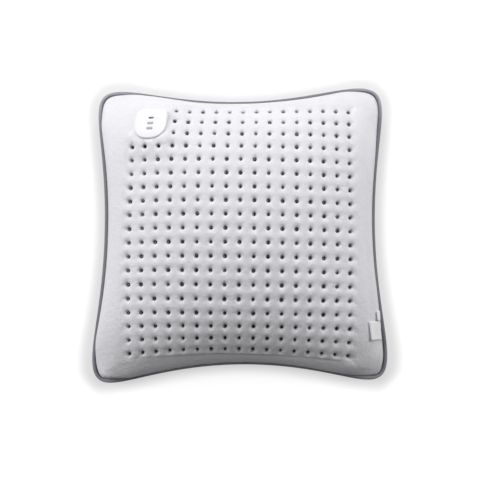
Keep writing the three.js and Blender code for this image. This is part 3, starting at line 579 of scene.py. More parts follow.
def thread():
    shade = Shade("tack_thread", roughness=0.55, specular=CLOTH_SPECULAR, sheen_weight=0.2)
    twist = shade.noise(1500, 2.0)
    pale = shade.mix(twist, (0.40, 0.40, 0.43), (0.56, 0.56, 0.59))
    # The near-black strand colour is painted shade deep in the pit, beside the pale knot
    dark = shade.mix(twist, (0.015, 0.015, 0.018), (0.04, 0.04, 0.045))
    colour = shade.mix(shade.attribute("tone"), dark, pale)
    return shade.feed(base_color=colour, normal=shade.bump(twist, 0.0001, 0.6))


def label_tape():
    """White woven tape with a fine rib and a slightly grey weave."""
    shade = Shade("label_tape", roughness=0.75, specular=CLOTH_SPECULAR, sheen_weight=0.1)
    rib = (shade.node("SeparateXYZ", {}, {"Vector": shade.place()}, "Y") * 9000).maths("SINE")
    weave = (rib * 0.5 + 0.5).clamped()
    soil = shade.noise(140, 3.0)
    base = shade.mix(soil, (0.90, 0.90, 0.91), (0.96, 0.96, 0.965))
    woven = shade.mix(weave * 0.15, base, (0.80, 0.80, 0.81))
    inward = shade.attribute("margin") * 1000
    border = 1 - ((inward - 1.5).maths("ABSOLUTE") * 1.6).clamped()
    colour = shade.mix(border * 0.55, woven, (0.58, 0.45, 0.47))
    return shade.feed(base_color=colour, normal=shade.bump(weave, 0.00015, 0.4))


def moulded(name, light, dark, roughness, grain=2600, coat=0.0):
    """Moulded plastic: fine spark-eroded grain and faint flow marks."""
    shade = Shade(name, coat_weight=coat, coat_roughness=0.2)
    fine = shade.noise(grain, 2.0)
    flow = shade.noise(55, 2.0)
    colour = shade.mix(flow, dark, light)
    rough = fine * 0.12 + (roughness - 0.06)
    return shade.feed(base_color=colour, roughness=rough, normal=shade.bump(fine, 0.00004, 0.5))


def plated():
    shade = Shade("plated_steel", metallic=1.0)
    brush = shade.noise(1, 2.0, 0.5, shade.stretched(2600, 300, 300))
    colour = shade.mix(brush, (0.42, 0.43, 0.45), (0.62, 0.63, 0.65))
    return shade.feed(base_color=colour, roughness=brush * 0.2 + 0.25)


def fibrous(name, light, dark, scale):
    shade = Shade(name, roughness=0.95)
    fluff = shade.noise(scale, 4.0, 0.65)
    colour = shade.mix(fluff, dark, light)
    return shade.feed(base_color=colour, normal=shade.bump(fluff, 0.0006, 0.6))


# Cushion

FINE_STEPS = (0, 0.06, 0.12, 0.18, 0.3, 0.5, 0.7, 0.82, 0.88, 0.94)
COARSE_STEPS = (0, 0.25, 0.5, 0.75)
MARGIN_RINGS = 14
MARGIN_CROWDING = 0.9
MARGIN_SHARES = np.linspace(0, 1, MARGIN_RINGS + 1)[1:] ** MARGIN_CROWDING
BACK_SHARES = (0.99, 0.97, 0.94, 0.9, 0.84, 0.75, 0.62, 0.45, 0.25)
BACK_ROUND = 6

# Walls over the piping
BULGE = 5.2
RIGHT_BULGE = 6.6
LOWER_BULGE = 6.6
FLAT_WALL = (0.55, 0.85)
OPEN_CORNER = (0.3, 0.9)
OPEN_RIGHT = (0.02, 0.4)
RIGHT_WALL = (0, 0.25)
BULGE_SPAN = 20
FOOT_FILL = 4.2
FOOT_HEIGHT = 17
FOOT_SPAN = 13
TUCK = 1.5
CORNER_TUCK = 0.8

# Wadding round the pod
COLLAR_HEIGHT = 1.4
CHIN_COLLAR = 3.0
SIDE_COLLAR = 0.7
COLLAR_EDGE = 1.12
COLLAR_SPREAD = 0.55
COLLAR_START = (3, 16)
CHIN_SPAN = (0, 0.9)
SIDE_SPAN = (0.4, 1.1)
SEAT_GAP = 0.15
SEAT_SPAN = (-0.4, 30)

# Stuffing
STUFFING_PRESSURE = 4
STUFFING_CAP = 3.2
STUFFING_FRAMES = 20
HELD_RADIUS = 1.5
HELD_POD = 1.15
EVEN_PASSES = 3
EVEN_CLEAR = (1.3, 2.2)
CALM_STATIONS = 6
CALM_SHARE = 0.16
FLAT_CALM = 0.85
DENT_DEPTH = 0.9
DENT_START = (18, 40)
DENT_WAVES = 14
DENT_LENGTHS = (32, 95)
DENT_SLOPE = 0.6
DENT_SEED = 5

# Unevenness of the tacks, and their knots
SMALL_ROWS = 0.12
SMALL_ROW_SPAN = (14, 18)
TACK_BATCH = 4000
PIT_POWER = 4
PIT_WIDTHS = (0.88, 1.14)
PIT_DEPTHS = (0.85, 1.1)
PIT_SEED = 3
KNOT_PROUD = 1.7
KNOT_TURN = (0.6, 1.3)
KNOT_SHIFT = (-0.5, 0.3)
KNOT_SEED = 8
# Strands: offset to the side and tone, 1 a pale thread and 0 near-black painted pit shade
STRANDS = ((-0.7, 0.0), (0.6, 1.0))
STRAND_TURN = 0.3
STRAND_RISE = (-0.1, 0.3)
STRAND_RADIUS = 0.66
STRAND_TAPER = 0.8
STRAND_HALF = 1.1
STRAND_SAG = 0.5
STRAND_STEPS = 5
STRAND_SIDES = 6


def tacks():
    column, row = np.meshgrid(np.arange(TACK_COLUMNS), np.arange(TACK_ROWS))
    keep = has_tack(column, row)
    X, Y = field(column[keep].astype(float), row[keep].astype(float))
    sizes = 1 - SMALL_ROWS * smoothstep(row[keep], *SMALL_ROW_SPAN)
    return front(X, Y), front_normal(X, Y), sizes


TACKS, TACK_NORMALS, TACK_SIZES = tacks()


def nearest_tack(points):
    """Distance of each point from the tack nearest to it, and which tack that is."""
    which = np.zeros(len(points), int)
    away = np.zeros(len(points))
    for start in range(0, len(points), TACK_BATCH):
        part = points[start : start + TACK_BATCH]
        distance = np.linalg.norm((part[:, None] - TACKS[None]) * [1, 1, TACK_STRETCH], axis=2)
        which[start : start + TACK_BATCH] = distance.argmin(1)
        away[start : start + TACK_BATCH] = distance.min(1)
    return away, which


class Front:
    """The front's points: a field of tack cells, then rings of a margin out to the seam."""

    def __init__(self, steps):
        self.steps = steps
        columns, rows = cell_places(COLUMN_CELLS, steps), cell_places(ROW_CELLS, steps)
        X, Y = field(*np.meshgrid(columns, rows))
        self.shape = X.shape
        up, across = np.arange(len(rows) - 1), np.arange(len(columns) - 1)
        last_row, last_column = len(rows) - 1, len(columns) - 1
        rim_row = np.concatenate([last_row - up, 0 * across, up, 0 * across + last_row])
        rim_column = np.concatenate([0 * up + last_column, last_column - across, 0 * up, across])
        self.rim = rim_row * len(columns) + rim_column
        rim_x, rim_y = X[rim_row, rim_column], Y[rim_row, rim_column]
        edge_x, edge_y = outline_stations(steps)
        share = MARGIN_SHARES[:, None]
        self.stations = len(edge_x)
        self.X = np.concatenate([X.ravel(), lerp(rim_x, edge_x, share).ravel()])
        self.Y = np.concatenate([Y.ravel(), lerp(rim_y, edge_y, share).ravel()])
        self.normal = front_normal(self.X, self.Y)
        self.points = front(self.X, self.Y) + self.overhang()

    def overhang(self):
        """The walls bulge over the piping, the lower one at its foot, with their edge tucked in."""
        height = front(self.X, self.Y)[:, 2] - seam_height(self.X, self.Y)
        level = self.normal * [1, 1, 0]
        level /= np.maximum(np.linalg.norm(level, axis=1, keepdims=True), 1e-6)
        corner = corner_share(self.X, self.Y)
        right = smoothstep(self.X - np.abs(self.Y), *RIGHT_WALL)
        full = 1 - lerp(smoothstep(corner, *OPEN_CORNER), smoothstep(corner, *OPEN_RIGHT), right)
        beside = smoothstep(np.abs(self.X), *FLAT_WALL)
        reach = lerp(BULGE, RIGHT_BULGE, np.clip(level[:, 0], 0, 1))
        reach = lerp(reach, LOWER_BULGE * beside, np.clip(-level[:, 1], 0, 1))
        out = reach * full * np.sin(math.pi * np.clip(height / BULGE_SPAN, 0, 1))
        below = np.clip(-level[:, 1], 0, 1) * (1 - beside)
        out += FOOT_FILL * below * np.clip((FOOT_HEIGHT - height) / FOOT_SPAN, 0, 1)
        out[-self.stations :] = lerp(CORNER_TUCK, TUCK, full[-self.stations :])
        return level * out[:, None]


def back_points(steps):
    edge_x, edge_y = outline_stations(steps)
    share = np.array(BACK_SHARES)[:, None]
    X, Y = edge_x * share, edge_y * share
    x, y = plan(X, Y, COVER_INSET)
    z = seam_height(X, Y) - SEAM_HALF - BACK_DEPTH * crown(X, Y)
    rounded = 0.5 * (z + np.sqrt(z * z + BACK_ROUND**2))
    return np.stack([x, y, np.where(z < -2 * BACK_ROUND, 0, rounded)], -1)


def closed_cover(name, sheet, points):
    """One closed body: the front and its margin, the seam, and the plain back."""
    rows, columns = sheet.shape
    back = back_points(sheet.steps)
    grid = np.arange(rows * columns).reshape(rows, columns)
    cells = np.stack([grid[1:, :-1], grid[1:, 1:], grid[:-1, 1:], grid[:-1, :-1]], -1)
    faces = [tuple(face) for face in cells.reshape(-1, 4).tolist()]
    loops = np.arange(rows * columns, len(points)).reshape(-1, sheet.stations)
    rings = np.arange(back.size // 3).reshape(-1, sheet.stations) + len(points)
    chain = [sheet.rim.tolist(), *loops.tolist(), *rings.tolist()]
    for inner, outer in zip(chain, chain[1:]):
        faces += ring_faces(outer, inner)
    middle = len(points) + back.size // 3
    inmost = chain[-1]
    for k, corner in enumerate(inmost):
        faces.append((inmost[(k + 1) % len(inmost)], corner, middle))
    whole = np.concatenate([points, back.reshape(-1, 3), [[0, 0, 0]]])
    return new_object(name, whole, faces)


def stuffed(sheet):
    """How far the filling presses each point of the front out, held by tacks, seam and pod."""
    trial = closed_cover("stuffing_trial", sheet, sheet.points)
    count = len(sheet.points)
    away = nearest_tack(sheet.points)[0]
    held = (away < HELD_RADIUS) | (pod_ratio(sheet.points) < HELD_POD)
    held[-sheet.stations :] = True
    group = trial.vertex_groups.new(name="held")
    group.add(np.nonzero(held)[0].tolist(), 1.0, "REPLACE")
    group.add(list(range(count, len(trial.data.vertices))), 1.0, "REPLACE")
    cloth = trial.modifiers.new("stuffing", "CLOTH").settings
    cloth.quality = 6
    cloth.mass = 0.2
    cloth.tension_stiffness = 15
    cloth.compression_stiffness = 15
    cloth.shear_stiffness = 5
    cloth.bending_stiffness = 0.5
    cloth.use_pressure = True
    cloth.uniform_pressure_force = STUFFING_PRESSURE
    cloth.shrink_min = -0.01
    cloth.vertex_group_mass = "held"
    cloth.effector_weights.gravity = 0
    scene = bpy.context.scene
    for step in range(1, STUFFING_FRAMES + 1):
        scene.frame_set(step)
    graph = bpy.context.evaluated_depsgraph_get()
    done = trial.evaluated_get(graph).data
    moved = np.empty(len(done.vertices) * 3, np.float32)
    done.vertices.foreach_get("co", moved)
    shift = moved.reshape(-1, 3)[:count] / MM - sheet.points
    far = np.linalg.norm(shift, axis=1, keepdims=True)
    scene.frame_set(1)
    bpy.data.objects.remove(trial)
    return shift * np.minimum(1, STUFFING_CAP / np.maximum(far, 1e-9))


def evened(sheet, shift):
    """Each place in a tack cell, averaged with the same place in the cells around it."""
    rows, columns = sheet.shape
    step = len(sheet.steps)
    first = int(round(RIM * step))
    even = shift.reshape(rows, columns, 3)
    for axis, size in ((0, rows), (1, columns)):
        place = np.arange(size)
        inside = (place >= first) & (place < size - first)
        before = np.where(inside & (place - step >= first), place - step, place)
        after = np.where(inside & (place + step < size - first), place + step, place)
        for _ in range(EVEN_PASSES):
            even = (np.take(even, before, axis) + 2 * even + np.take(even, after, axis)) / 4
    clear = smoothstep(pod_ratio(sheet.points[: rows * columns]), *EVEN_CLEAR)[:, None]
    return lerp(shift, even.reshape(-1, 3), clear)


def calmed(sheet, shift):
    """Evens the shift over the tack cells, and along the seam the more, the farther from them."""
    split = sheet.shape[0] * sheet.shape[1]
    rings = shift[split:].reshape(-1, sheet.stations, 3)
    reach = np.arange(-3 * CALM_STATIONS, 3 * CALM_STATIONS + 1)
    weight = np.exp(-0.5 * (reach / CALM_STATIONS) ** 2)
    even = sum(w * np.roll(rings, k, 1) for k, w in zip(reach, weight)) / weight.sum()
    calm = smoothstep(MARGIN_SHARES, 0, CALM_SHARE)[:, None, None]
    flat = np.where(sheet.Y[split:] < 0, 1 - smoothstep(np.abs(sheet.X[split:]), *FLAT_WALL), 0)
    wall = lerp(rings, even, calm).reshape(-1, 3) * (1 - FLAT_CALM * flat[:, None])
    return np.concatenate([evened(sheet, shift[:split]), wall])


def spline_weights(places, count, closed):
    """Weights that carry values at whole places 0 to count - 1 onto places between them."""
    first = np.floor(places).astype(int)
    t = (places - first)[:, None]
    share = np.hstack([
        -0.5 * t + t**2 - 0.5 * t**3,
        1 - 2.5 * t**2 + 1.5 * t**3,
        0.5 * t + 2 * t**2 - 1.5 * t**3,
        -0.5 * t**2 + 0.5 * t**3,
    ])
    weights = np.zeros((len(places), count))
    for k in range(4):
        at = first - 1 + k
        at = at % count if closed else np.clip(at, 0, count - 1)
        np.add.at(weights, (np.arange(len(places)), at), share[:, k])
    return weights


def carried_to(fine, coarse, shift):
    """Carries a shift of the coarse front's points onto the fine front's points."""
    scale = len(coarse.steps)
    rows, columns = coarse.shape
    split = rows * columns
    fine_columns = (cell_places(COLUMN_CELLS, fine.steps) + RIM) * scale
    fine_rows = (cell_places(ROW_CELLS, fine.steps) + RIM) * scale
    across = spline_weights(fine_columns, columns, False)
    along = spline_weights(fine_rows, rows, False)
    inner = np.einsum("ri,ijk,cj->rck", along, shift[:split].reshape(rows, columns, 3), across)
    sides = [fine_rows[:-1], fine_columns[:-1]] * 2
    starts = np.cumsum([0, rows - 1, columns - 1, rows - 1])
    stations = np.concatenate([side + start for side, start in zip(sides, starts)])
    round_rim = spline_weights(stations, coarse.stations, True)
    outer = np.einsum("sj,rjk->rsk", round_rim, shift[split:].reshape(-1, coarse.stations, 3))
    return np.concatenate([inner.reshape(-1, 3), outer.reshape(-1, 3)])


def pod_ratio(points):
    """1 on the pod's outline, less inside it and more outside."""
    local = (points - np.array(POD_PLACE)) @ np.array(POD_TURN.to_matrix())
    power = np.where(local[:, 1] > 0, POD_BROW_SQUARENESS, POD_CHIN_SQUARENESS)
    height = np.where(local[:, 1] > 0, POD_BROW, POD_CHIN)
    x, y = np.abs(local[:, 0]) / (POD_WIDTH / 2), np.abs(local[:, 1]) / height
    return (x**power + y**power) ** (1 / power)


def soft_dents(points):
    """Slight unevenness of the filling: a few long waves in fixed directions."""
    rng = np.random.default_rng(DENT_SEED)
    total = np.zeros(len(points))
    for _ in range(DENT_WAVES):
        turn = rng.uniform(0, 2 * math.pi)
        wave = 2 * math.pi / rng.uniform(*DENT_LENGTHS)
        phase = rng.uniform(0, 2 * math.pi)
        run = points[:, 0] * math.cos(turn) + points[:, 1] * math.sin(turn)
        run = run + DENT_SLOPE * points[:, 2]
        total += np.sin(run * wave + phase)
    return total / DENT_WAVES


def cushion():
    fine = Front(FINE_STEPS)
    points = fine.points.copy()
    away, which = nearest_tack(fine.points)
    coarse = Front(COARSE_STEPS)
    points += carried_to(fine, coarse, calmed(coarse, stuffed(coarse)))
    rng = np.random.default_rng(PIT_SEED)
    width = (TACK_SIZES * rng.uniform(*PIT_WIDTHS, len(TACKS)))[which]
    depth = rng.uniform(*PIT_DEPTHS, len(TACKS))[which]
    pit = PIT_DEPTH * depth / (1 + (away / (PIT_RADIUS * width)) ** PIT_POWER)
    dimple = DIMPLE_DEPTH * np.exp(-((away / DIMPLE_RADIUS) ** 2))
    ratio = pod_ratio(fine.points)
    below = smoothstep((POD_Y - fine.points[:, 1]) / POD_REACH, *CHIN_SPAN)
    spread = np.clip(ratio - COLLAR_EDGE, 0, None) / COLLAR_SPREAD
    rightwards = (fine.points[:, 0] - POD_X) / (POD_WIDTH / 2)
    beside = smoothstep(rightwards, *SIDE_SPAN) * (1 - below)
    collar = (COLLAR_HEIGHT + CHIN_COLLAR * below + SIDE_COLLAR * beside) * np.exp(-(spread**2))
    height = fine.points[:, 2] - seam_height(fine.X, fine.Y)
    dents = DENT_DEPTH * soft_dents(fine.points) * smoothstep(height, *DENT_START)
    swell = dents + collar * smoothstep(height, *COLLAR_START) - pit - dimple
    points += fine.normal * swell[:, None]
    piece = closed_cover("cushion_cover", fine, points)
    # Mask of crushed pile and painted shade in the tack pits
    dark = 1 - smoothstep(away / width, *PIT_CRUSH_AND_SHADE_RADIUS)
    rest = len(piece.data.vertices) - len(dark)
    float_attribute(piece, "tack", np.append(dark, np.zeros(rest)))
    seat = loft("seat", [pod_loop(-SEAT_GAP, z) for z in SEAT_SPAN])
    return cut(piece, on_pod(seat))


def knots():
    """Small thread knots in the tacks: a pale strand, and a near-black one that is painted pit
    shade.
    """
    rng = np.random.default_rng(KNOT_SEED)
    points, faces, tones = [], [], []
    floor = PIT_DEPTH + DIMPLE_DEPTH - KNOT_PROUD
    count = STRAND_STEPS * STRAND_SIDES
    for place, up in zip(TACKS - TACK_NORMALS * floor, TACK_NORMALS):
        turn = rng.uniform(*KNOT_TURN)
        shift = np.array([rng.uniform(*KNOT_SHIFT), rng.uniform(*KNOT_SHIFT), 0.0])
        for strand, tone in STRANDS:
            tilt = turn + rng.uniform(-STRAND_TURN, STRAND_TURN)
            along = np.array([math.cos(tilt), math.sin(tilt), 0.0])
            side = np.cross(up, along)
            middle = place + shift + side * strand + up * rng.uniform(*STRAND_RISE)
            start = len(points)
            for step in np.linspace(-1, 1, STRAND_STEPS):
                radius = STRAND_RADIUS * math.sqrt(1 - STRAND_TAPER * step * step)
                heart = middle + along * step * STRAND_HALF - up * STRAND_SAG * step * step
                for k in range(STRAND_SIDES):
                    angle = k * 2 * math.pi / STRAND_SIDES
                    points.append(heart + radius * (math.cos(angle) * side + math.sin(angle) * up))
            tones += [tone] * count
            index = np.arange(start, start + count).reshape(STRAND_STEPS, STRAND_SIDES).tolist()
            for low, high in zip(index, index[1:]):
                faces += ring_faces(low, high)
            faces.append(tuple(reversed(index[0])))
            faces.append(tuple(index[-1]))
    piece = new_object("tack_knots", points, faces)
    float_attribute(piece, "tone", tones)
    return piece


# Piping


def seam_path(steps, inset):
    X, Y = outline_stations(steps)
    x, y = plan(X, Y, inset)
    return np.stack([x, y, seam_height(X, Y)], -1)


PIPING_SIDES = 14


def piping():
    path = seam_path(COARSE_STEPS, PIPING_DIAMETER / 2)
    along = np.roll(path, -1, 0) - np.roll(path, 1, 0)
    along /= np.linalg.norm(along, axis=1, keepdims=True)
    side = np.cross(along, [0, 0, 1])
    side /= np.linalg.norm(side, axis=1, keepdims=True)
    top = np.cross(side, along)
    length = np.concatenate([[0], np.cumsum(np.linalg.norm(np.diff(path, axis=0), axis=1))])
    angles = np.linspace(-math.pi, math.pi, PIPING_SIDES, endpoint=False)
    radius = PIPING_DIAMETER / 2
    ring = path[:, None] + radius * (
        np.cos(angles)[None, :, None] * side[:, None] + np.sin(angles)[None, :, None] * top[:, None]
    )
    index = np.arange(ring.size // 3).reshape(len(path), PIPING_SIDES).tolist()
    pairs = zip(index, index[1:] + index[:1])
    faces = [face for low, high in pairs for face in ring_faces(low, high)]
    piece = new_object("piping", ring.reshape(-1, 3), faces)
    float_attribute(piece, "along", np.repeat(length * MM, PIPING_SIDES))
    float_attribute(piece, "around", np.tile(angles, len(path)))
    # Share of painted shade on the piping: full under the overhanging walls, none at the open
    # corners
    overhang_shade = 1 - smoothstep(corner_share(*outline_stations(COARSE_STEPS)), *OPEN_CORNER)
    float_attribute(piece, "overhang_shade", np.repeat(overhang_shade, PIPING_SIDES))
    return piece


# Labels

LABEL_STEPS = 12
LABEL_ACROSS = 13
LABEL_ROOT = 3.6
LABEL_REACH = 12
LABEL_LIFT = 0.5
LABEL_CURL = 1.4
LABEL_THICKNESS = 0.7
LABEL_LEAN = 0.4
ROOT_STEP = 0.1
TRACK_STEP = 0.05


def label_track(y, length):
    """Points up the wall of the cushion from the seam, with the wall's normals."""
    x = PAD_WIDTH / 2
    while CROWN_HEIGHT * crown(*pillow(x, y)) < LABEL_ROOT:
        x -= ROOT_STEP
    places = [pillow(x, y)]
    for _ in range(LABEL_STEPS):
        start = front(*places[-1])
        while np.linalg.norm(front(*pillow(x, y)) - start) < length / LABEL_STEPS:
            x -= TRACK_STEP
        places.append(pillow(x, y))
    X, Y = np.array(places, float).T
    return front(X, Y), front_normal(X, Y)


def onto_cover(cover, points, normals):
    """Points moved along their normals onto the outside of the finished cover."""
    tree = BVHTree.FromObject(cover, bpy.context.evaluated_depsgraph_get())
    start = (points + normals * LABEL_REACH) * MM
    hits = [tree.ray_cast(Vector(a), Vector(-n))[0] for a, n in zip(start, normals)]
    return np.array(hits) / MM


def label(name, cover, y, width, length):
    """A folded strip of tape, sewn into the seam and curling a little at its free end."""
    sides = np.linspace(y - width / 2, y + width / 2, LABEL_ACROSS)
    tracks = [label_track(side, length) for side in sides]
    normal = np.array([t[1] for t in tracks])
    flat = np.array([t[0] for t in tracks]).reshape(-1, 3)
    line = onto_cover(cover, flat, normal.reshape(-1, 3)).reshape(normal.shape)
    share = np.linspace(0, 1, LABEL_STEPS + 1)[None, :]
    across = np.linspace(-1, 1, LABEL_ACROSS)[:, None]
    lift = LABEL_LIFT + LABEL_CURL * share**2 * (1 - LABEL_LEAN * across)
    lower = line + normal * lift[..., None]
    upper = lower + normal * LABEL_THICKNESS
    loops = [np.concatenate([lower[:, k], upper[::-1, k]]) for k in range(LABEL_STEPS + 1)]
    piece = loft(name, loops)
    from_sides = (1 - np.abs(across)) * width / 2 + 0 * share
    from_end = (1 - share) * length + 0 * across
    margin = np.minimum(from_sides, from_end).T
    float_attribute(piece, "margin", np.concatenate([margin, margin[:, ::-1]], 1).ravel() * MM)
    return piece


# Pod


def pod_loop(inset, z, points=120):
    angle = np.linspace(0, 2 * math.pi, points, endpoint=False)
    c, s = np.cos(angle), np.sin(angle)
    power = np.where(s > 0, POD_BROW_SQUARENESS, POD_CHIN_SQUARENESS)
    reach = (np.abs(c) ** power + np.abs(s) ** power) ** (-1 / power)
    height = np.where(s > 0, POD_BROW, POD_CHIN) - inset
    x = (POD_WIDTH / 2 - inset) * reach * c
    return np.stack([x, height * reach * s, np.full_like(x, z)], -1)


def oblong_loop(width, height, z, y=0.0, sides=12):
    flat = (width - height) / 2
    a = np.linspace(-math.pi / 2, math.pi / 2, sides)
    right = np.stack([flat + height / 2 * np.cos(a), y + height / 2 * np.sin(a)], -1)
    left = np.stack([-flat - height / 2 * np.cos(a), y - height / 2 * np.sin(a)], -1)
    ring = np.concatenate([right, left])
    return np.column_stack([ring, np.full(len(ring), z)])


def pod_point(place):
    return (POD_PLACE + POD_TURN.to_matrix() @ Vector(place)) * MM


def on_pod(piece):
    turn = POD_TURN.to_matrix().to_4x4()
    piece.data.transform(Matrix.Translation(POD_PLACE * MM) @ turn)
    return piece


def pod_shell():
    edge = [
        pod_loop(POD_EDGE * (1 - math.cos(a)), POD_HEIGHT - POD_EDGE * (1 - math.sin(a)))
        for a in np.linspace(0, math.pi / 2, 8)
    ]
    roof = [
        pod_loop(
            POD_EDGE + POD_ROOF_REACH * t,
            POD_HEIGHT + POD_DOME * math.sin(t * math.pi / 2) ** POD_ROOF_FULLNESS,
        )
        for t in np.linspace(POD_ROOF_START, 1, 5)
    ]
    foot = [pod_loop(inset, z) for inset, z in POD_FOOT]
    shell = loft("pod_shell", [*foot, *edge, *roof])
    ceiling = POD_HEIGHT - POD_ROOF
    tools = [loft("hollow", [pod_loop(POD_WALL, z) for z in (-CUT_PAST, ceiling)])]
    slot = (ceiling - CUT_PAST, ABOVE_POD)
    for y in KEY_PLACES.values():
        wide, high = KEY_WIDTH + 2 * SLOT_GAP, KEY_HEIGHT + 2 * SLOT_GAP
        tools.append(loft("slot", [oblong_loop(wide, high, z, y) for z in slot]))
    wide, high = WINDOW_WIDTH + 2 * SLOT_GAP, WINDOW_HEIGHT + 2 * SLOT_GAP
    tools.append(loft("slot", [oblong_loop(wide, high, z, WINDOW_Y) for z in slot]))
    mouth = []
    for end in INLET_SPAN:
        x, rise, out = oblong_loop(INLET_WIDTH, INLET_HEIGHT, POD_BROW + end).T
        mouth.append(np.column_stack([x, out, INLET_LEVEL - rise]))
    tools.append(loft("mouth", mouth))
    return on_pod(soften(cut(shell, *tools), SLOT_EDGE))


def rounded_oblong(name, width, height, proud, y, radius):
    """A key or lens: a flange under the roof and a cap with a round edge and a slight crown."""
    ceiling = POD_HEIGHT - POD_ROOF - SLOT_GAP
    high = POD_HEIGHT + proud
    wide, tall = width + FLANGE_WIDER, height + FLANGE_WIDER
    loops = [oblong_loop(wide, tall, z, y) for z in (FLANGE_LOW, ceiling)]
    loops.append(oblong_loop(width, height, ceiling, y))
    for a in np.linspace(0, math.pi / 2, 5):
        inset = 2 * radius * (1 - math.cos(a))
        level = high - radius * (1 - math.sin(a))
        loops.append(oblong_loop(width - inset, height - inset, level, y))
    loops.append(oblong_loop(width - 3 * radius, height - 3 * radius, high + CAP_CROWN, y))
    piece = loft(name, loops)
    piece.data.set_sharp_from_angle(angle=SHARP_ANGLE)
    return on_pod(piece)


def dome_loop(radius, z, y, points=28):
    angle = np.linspace(0, 2 * math.pi, points, endpoint=False)
    return np.stack([radius * np.cos(angle), y + radius * np.sin(angle), np.full(points, z)], -1)


def key_dome(name, y):
    """A thin rubber dome, open at its foot, that stands on the board under its key."""
    loops = [
        dome_loop(DOME_TOP_RADIUS - DOME_WALL / 2, DOME_HIGH - DOME_WALL, y),
        dome_loop(DOME_BASE_RADIUS - DOME_WALL, DOME_LOW, y),
        dome_loop(DOME_BASE_RADIUS, DOME_LOW, y),
        dome_loop(DOME_BASE_RADIUS, DOME_LOW + DOME_WALL, y),
        dome_loop(DOME_TOP_RADIUS, DOME_HIGH, y),
    ]
    piece = loft(name, loops)
    piece.data.set_sharp_from_angle(angle=SHARP_ANGLE)
    return on_pod(piece)


# Stage

FLOOR_GREY = (0.3, 0.3, 0.3)
FLOOR_LIFT = 0.9
# Painted shadow on the floor: its glow turned down near the cushion's outline
PAINTED_SHADOW_LIFT = 0.53
PAINTED_SHADOW_REACH = (-6, 20)
PAINTED_SHADOW_GROWTH = (13.6, 9.7)
PAINTED_SHADOW_CORNER = 8
PAINTED_SHADOW_UPPER_CORNER = 3
PAINTED_SHADOW_SHIFT = 8.5
FLOOR_HALF = 4000
WORLD_STRENGTH = 0.06
LAMPS = {
    "key": {"place": (0, 1.32, 0.98), "size": 0.9, "power": 16.8},
    "left": {"place": (-1.4, 0.3, 0.8), "size": 0.9, "power": 18},
    "right": {"place": (1.4, 0.3, 0.8), "size": 0.9, "power": 14.2},
}
LAMP_TARGET = (0, 0, 0.05)


def from_outline(shade):
    """Distance on the floor from the outline of the painted shadow, drawn in between its corners.
    """
    place = shade.place()
    over = shade.node("SeparateXYZ", {}, {"Vector": place}, "X") / MM
    upwards = shade.node("SeparateXYZ", {}, {"Vector": place}, "Y") / MM
    up = upwards - over * OUTLINE_SKEW - PAINTED_SHADOW_SHIFT
    across, along = over.maths("ABSOLUTE"), up.maths("ABSOLUTE")
    X = (across / (PAD_WIDTH / 2)).maths("MINIMUM", 1.0)
    Y = (along / (PAD_LENGTH / 2)).maths("MINIMUM", 1.0)
    corner = (X * Y) ** CORNER_POWER * (up.maths("SIGN") * PAINTED_SHADOW_UPPER_CORNER + PAINTED_SHADOW_CORNER)
    half_width = Y * Y * FLARE_X + (WAIST_WIDTH / 2 + PAINTED_SHADOW_GROWTH[0]) - corner
    half_length = X * X * FLARE_Y + (WAIST_LENGTH / 2 + PAINTED_SHADOW_GROWTH[1]) - corner
    beside, below = across / half_width, along / half_length
    ratio = (beside**SQUARENESS + below**SQUARENESS) ** (1 / SQUARENESS)
    steep_x = (beside / ratio) ** (SQUARENESS - 1) / half_width
    steep_y = (below / ratio) ** (SQUARENESS - 1) / half_length
    return (ratio - 1) / (steep_x * steep_x + steep_y * steep_y) ** 0.5


def stage():
    """A pale matt floor, white a little away from the cushion, with a painted shadow close to it.
    """
    shade = Shade(
        "studio_floor", roughness=1.0, base_color=FLOOR_GREY, emission_strength=FLOOR_LIFT
    )
    near, far = PAINTED_SHADOW_REACH
    reach = {"From Min": near, "From Max": far, "To Min": PAINTED_SHADOW_LIFT / FLOOR_LIFT}
    soft = {"interpolation_type": "SMOOTHSTEP"}
    # The glow that camera rays see fades near the cushion: a painted shadow round it
    lift = shade.node("MapRange", soft, {"Value": from_outline(shade), **reach})
    shade.feed(emission_color=shade.mix(shade.seen() * lift, (0, 0, 0), (1, 1, 1)))
    sides = ((-1, -1), (1, -1), (1, 1), (-1, 1))
    corners = [(x * FLOOR_HALF, y * FLOOR_HALF, 0) for x, y in sides]
    floor = new_object("floor", corners, [(0, 1, 2, 3)])
    paint(floor, shade.material)


def area_light(name, place, size, power):
    data = bpy.data.lights.new(name, "AREA")
    data.energy = power
    data.size = size
    lamp = bpy.data.objects.new(name, data)
    bpy.context.scene.collection.objects.link(lamp)
    lamp.location = place
    aim = Vector(LAMP_TARGET) - Vector(place)
    lamp.rotation_euler = aim.to_track_quat("-Z", "Y").to_euler()


def light():
    world = bpy.data.worlds.new("studio")
    bpy.context.scene.world = world
    world.use_nodes = True
    sky = Nodes(world.node_tree)
    white = {"Color": (1, 1, 1)}
    ambient = sky.node("Background", {}, {**white, "Strength": WORLD_STRENGTH})
    backdrop = sky.node("Background", {}, {**white, "Strength": 1.0})
    output = next(n for n in sky.tree.nodes if n.type == "OUTPUT_WORLD")
    chosen = sky.node("MixShader", {}, {0: sky.seen(), 1: ambient, 2: backdrop})
    sky.set(output, "Surface", chosen)
    for name, lamp in LAMPS.items():
        area_light(name, **lamp)


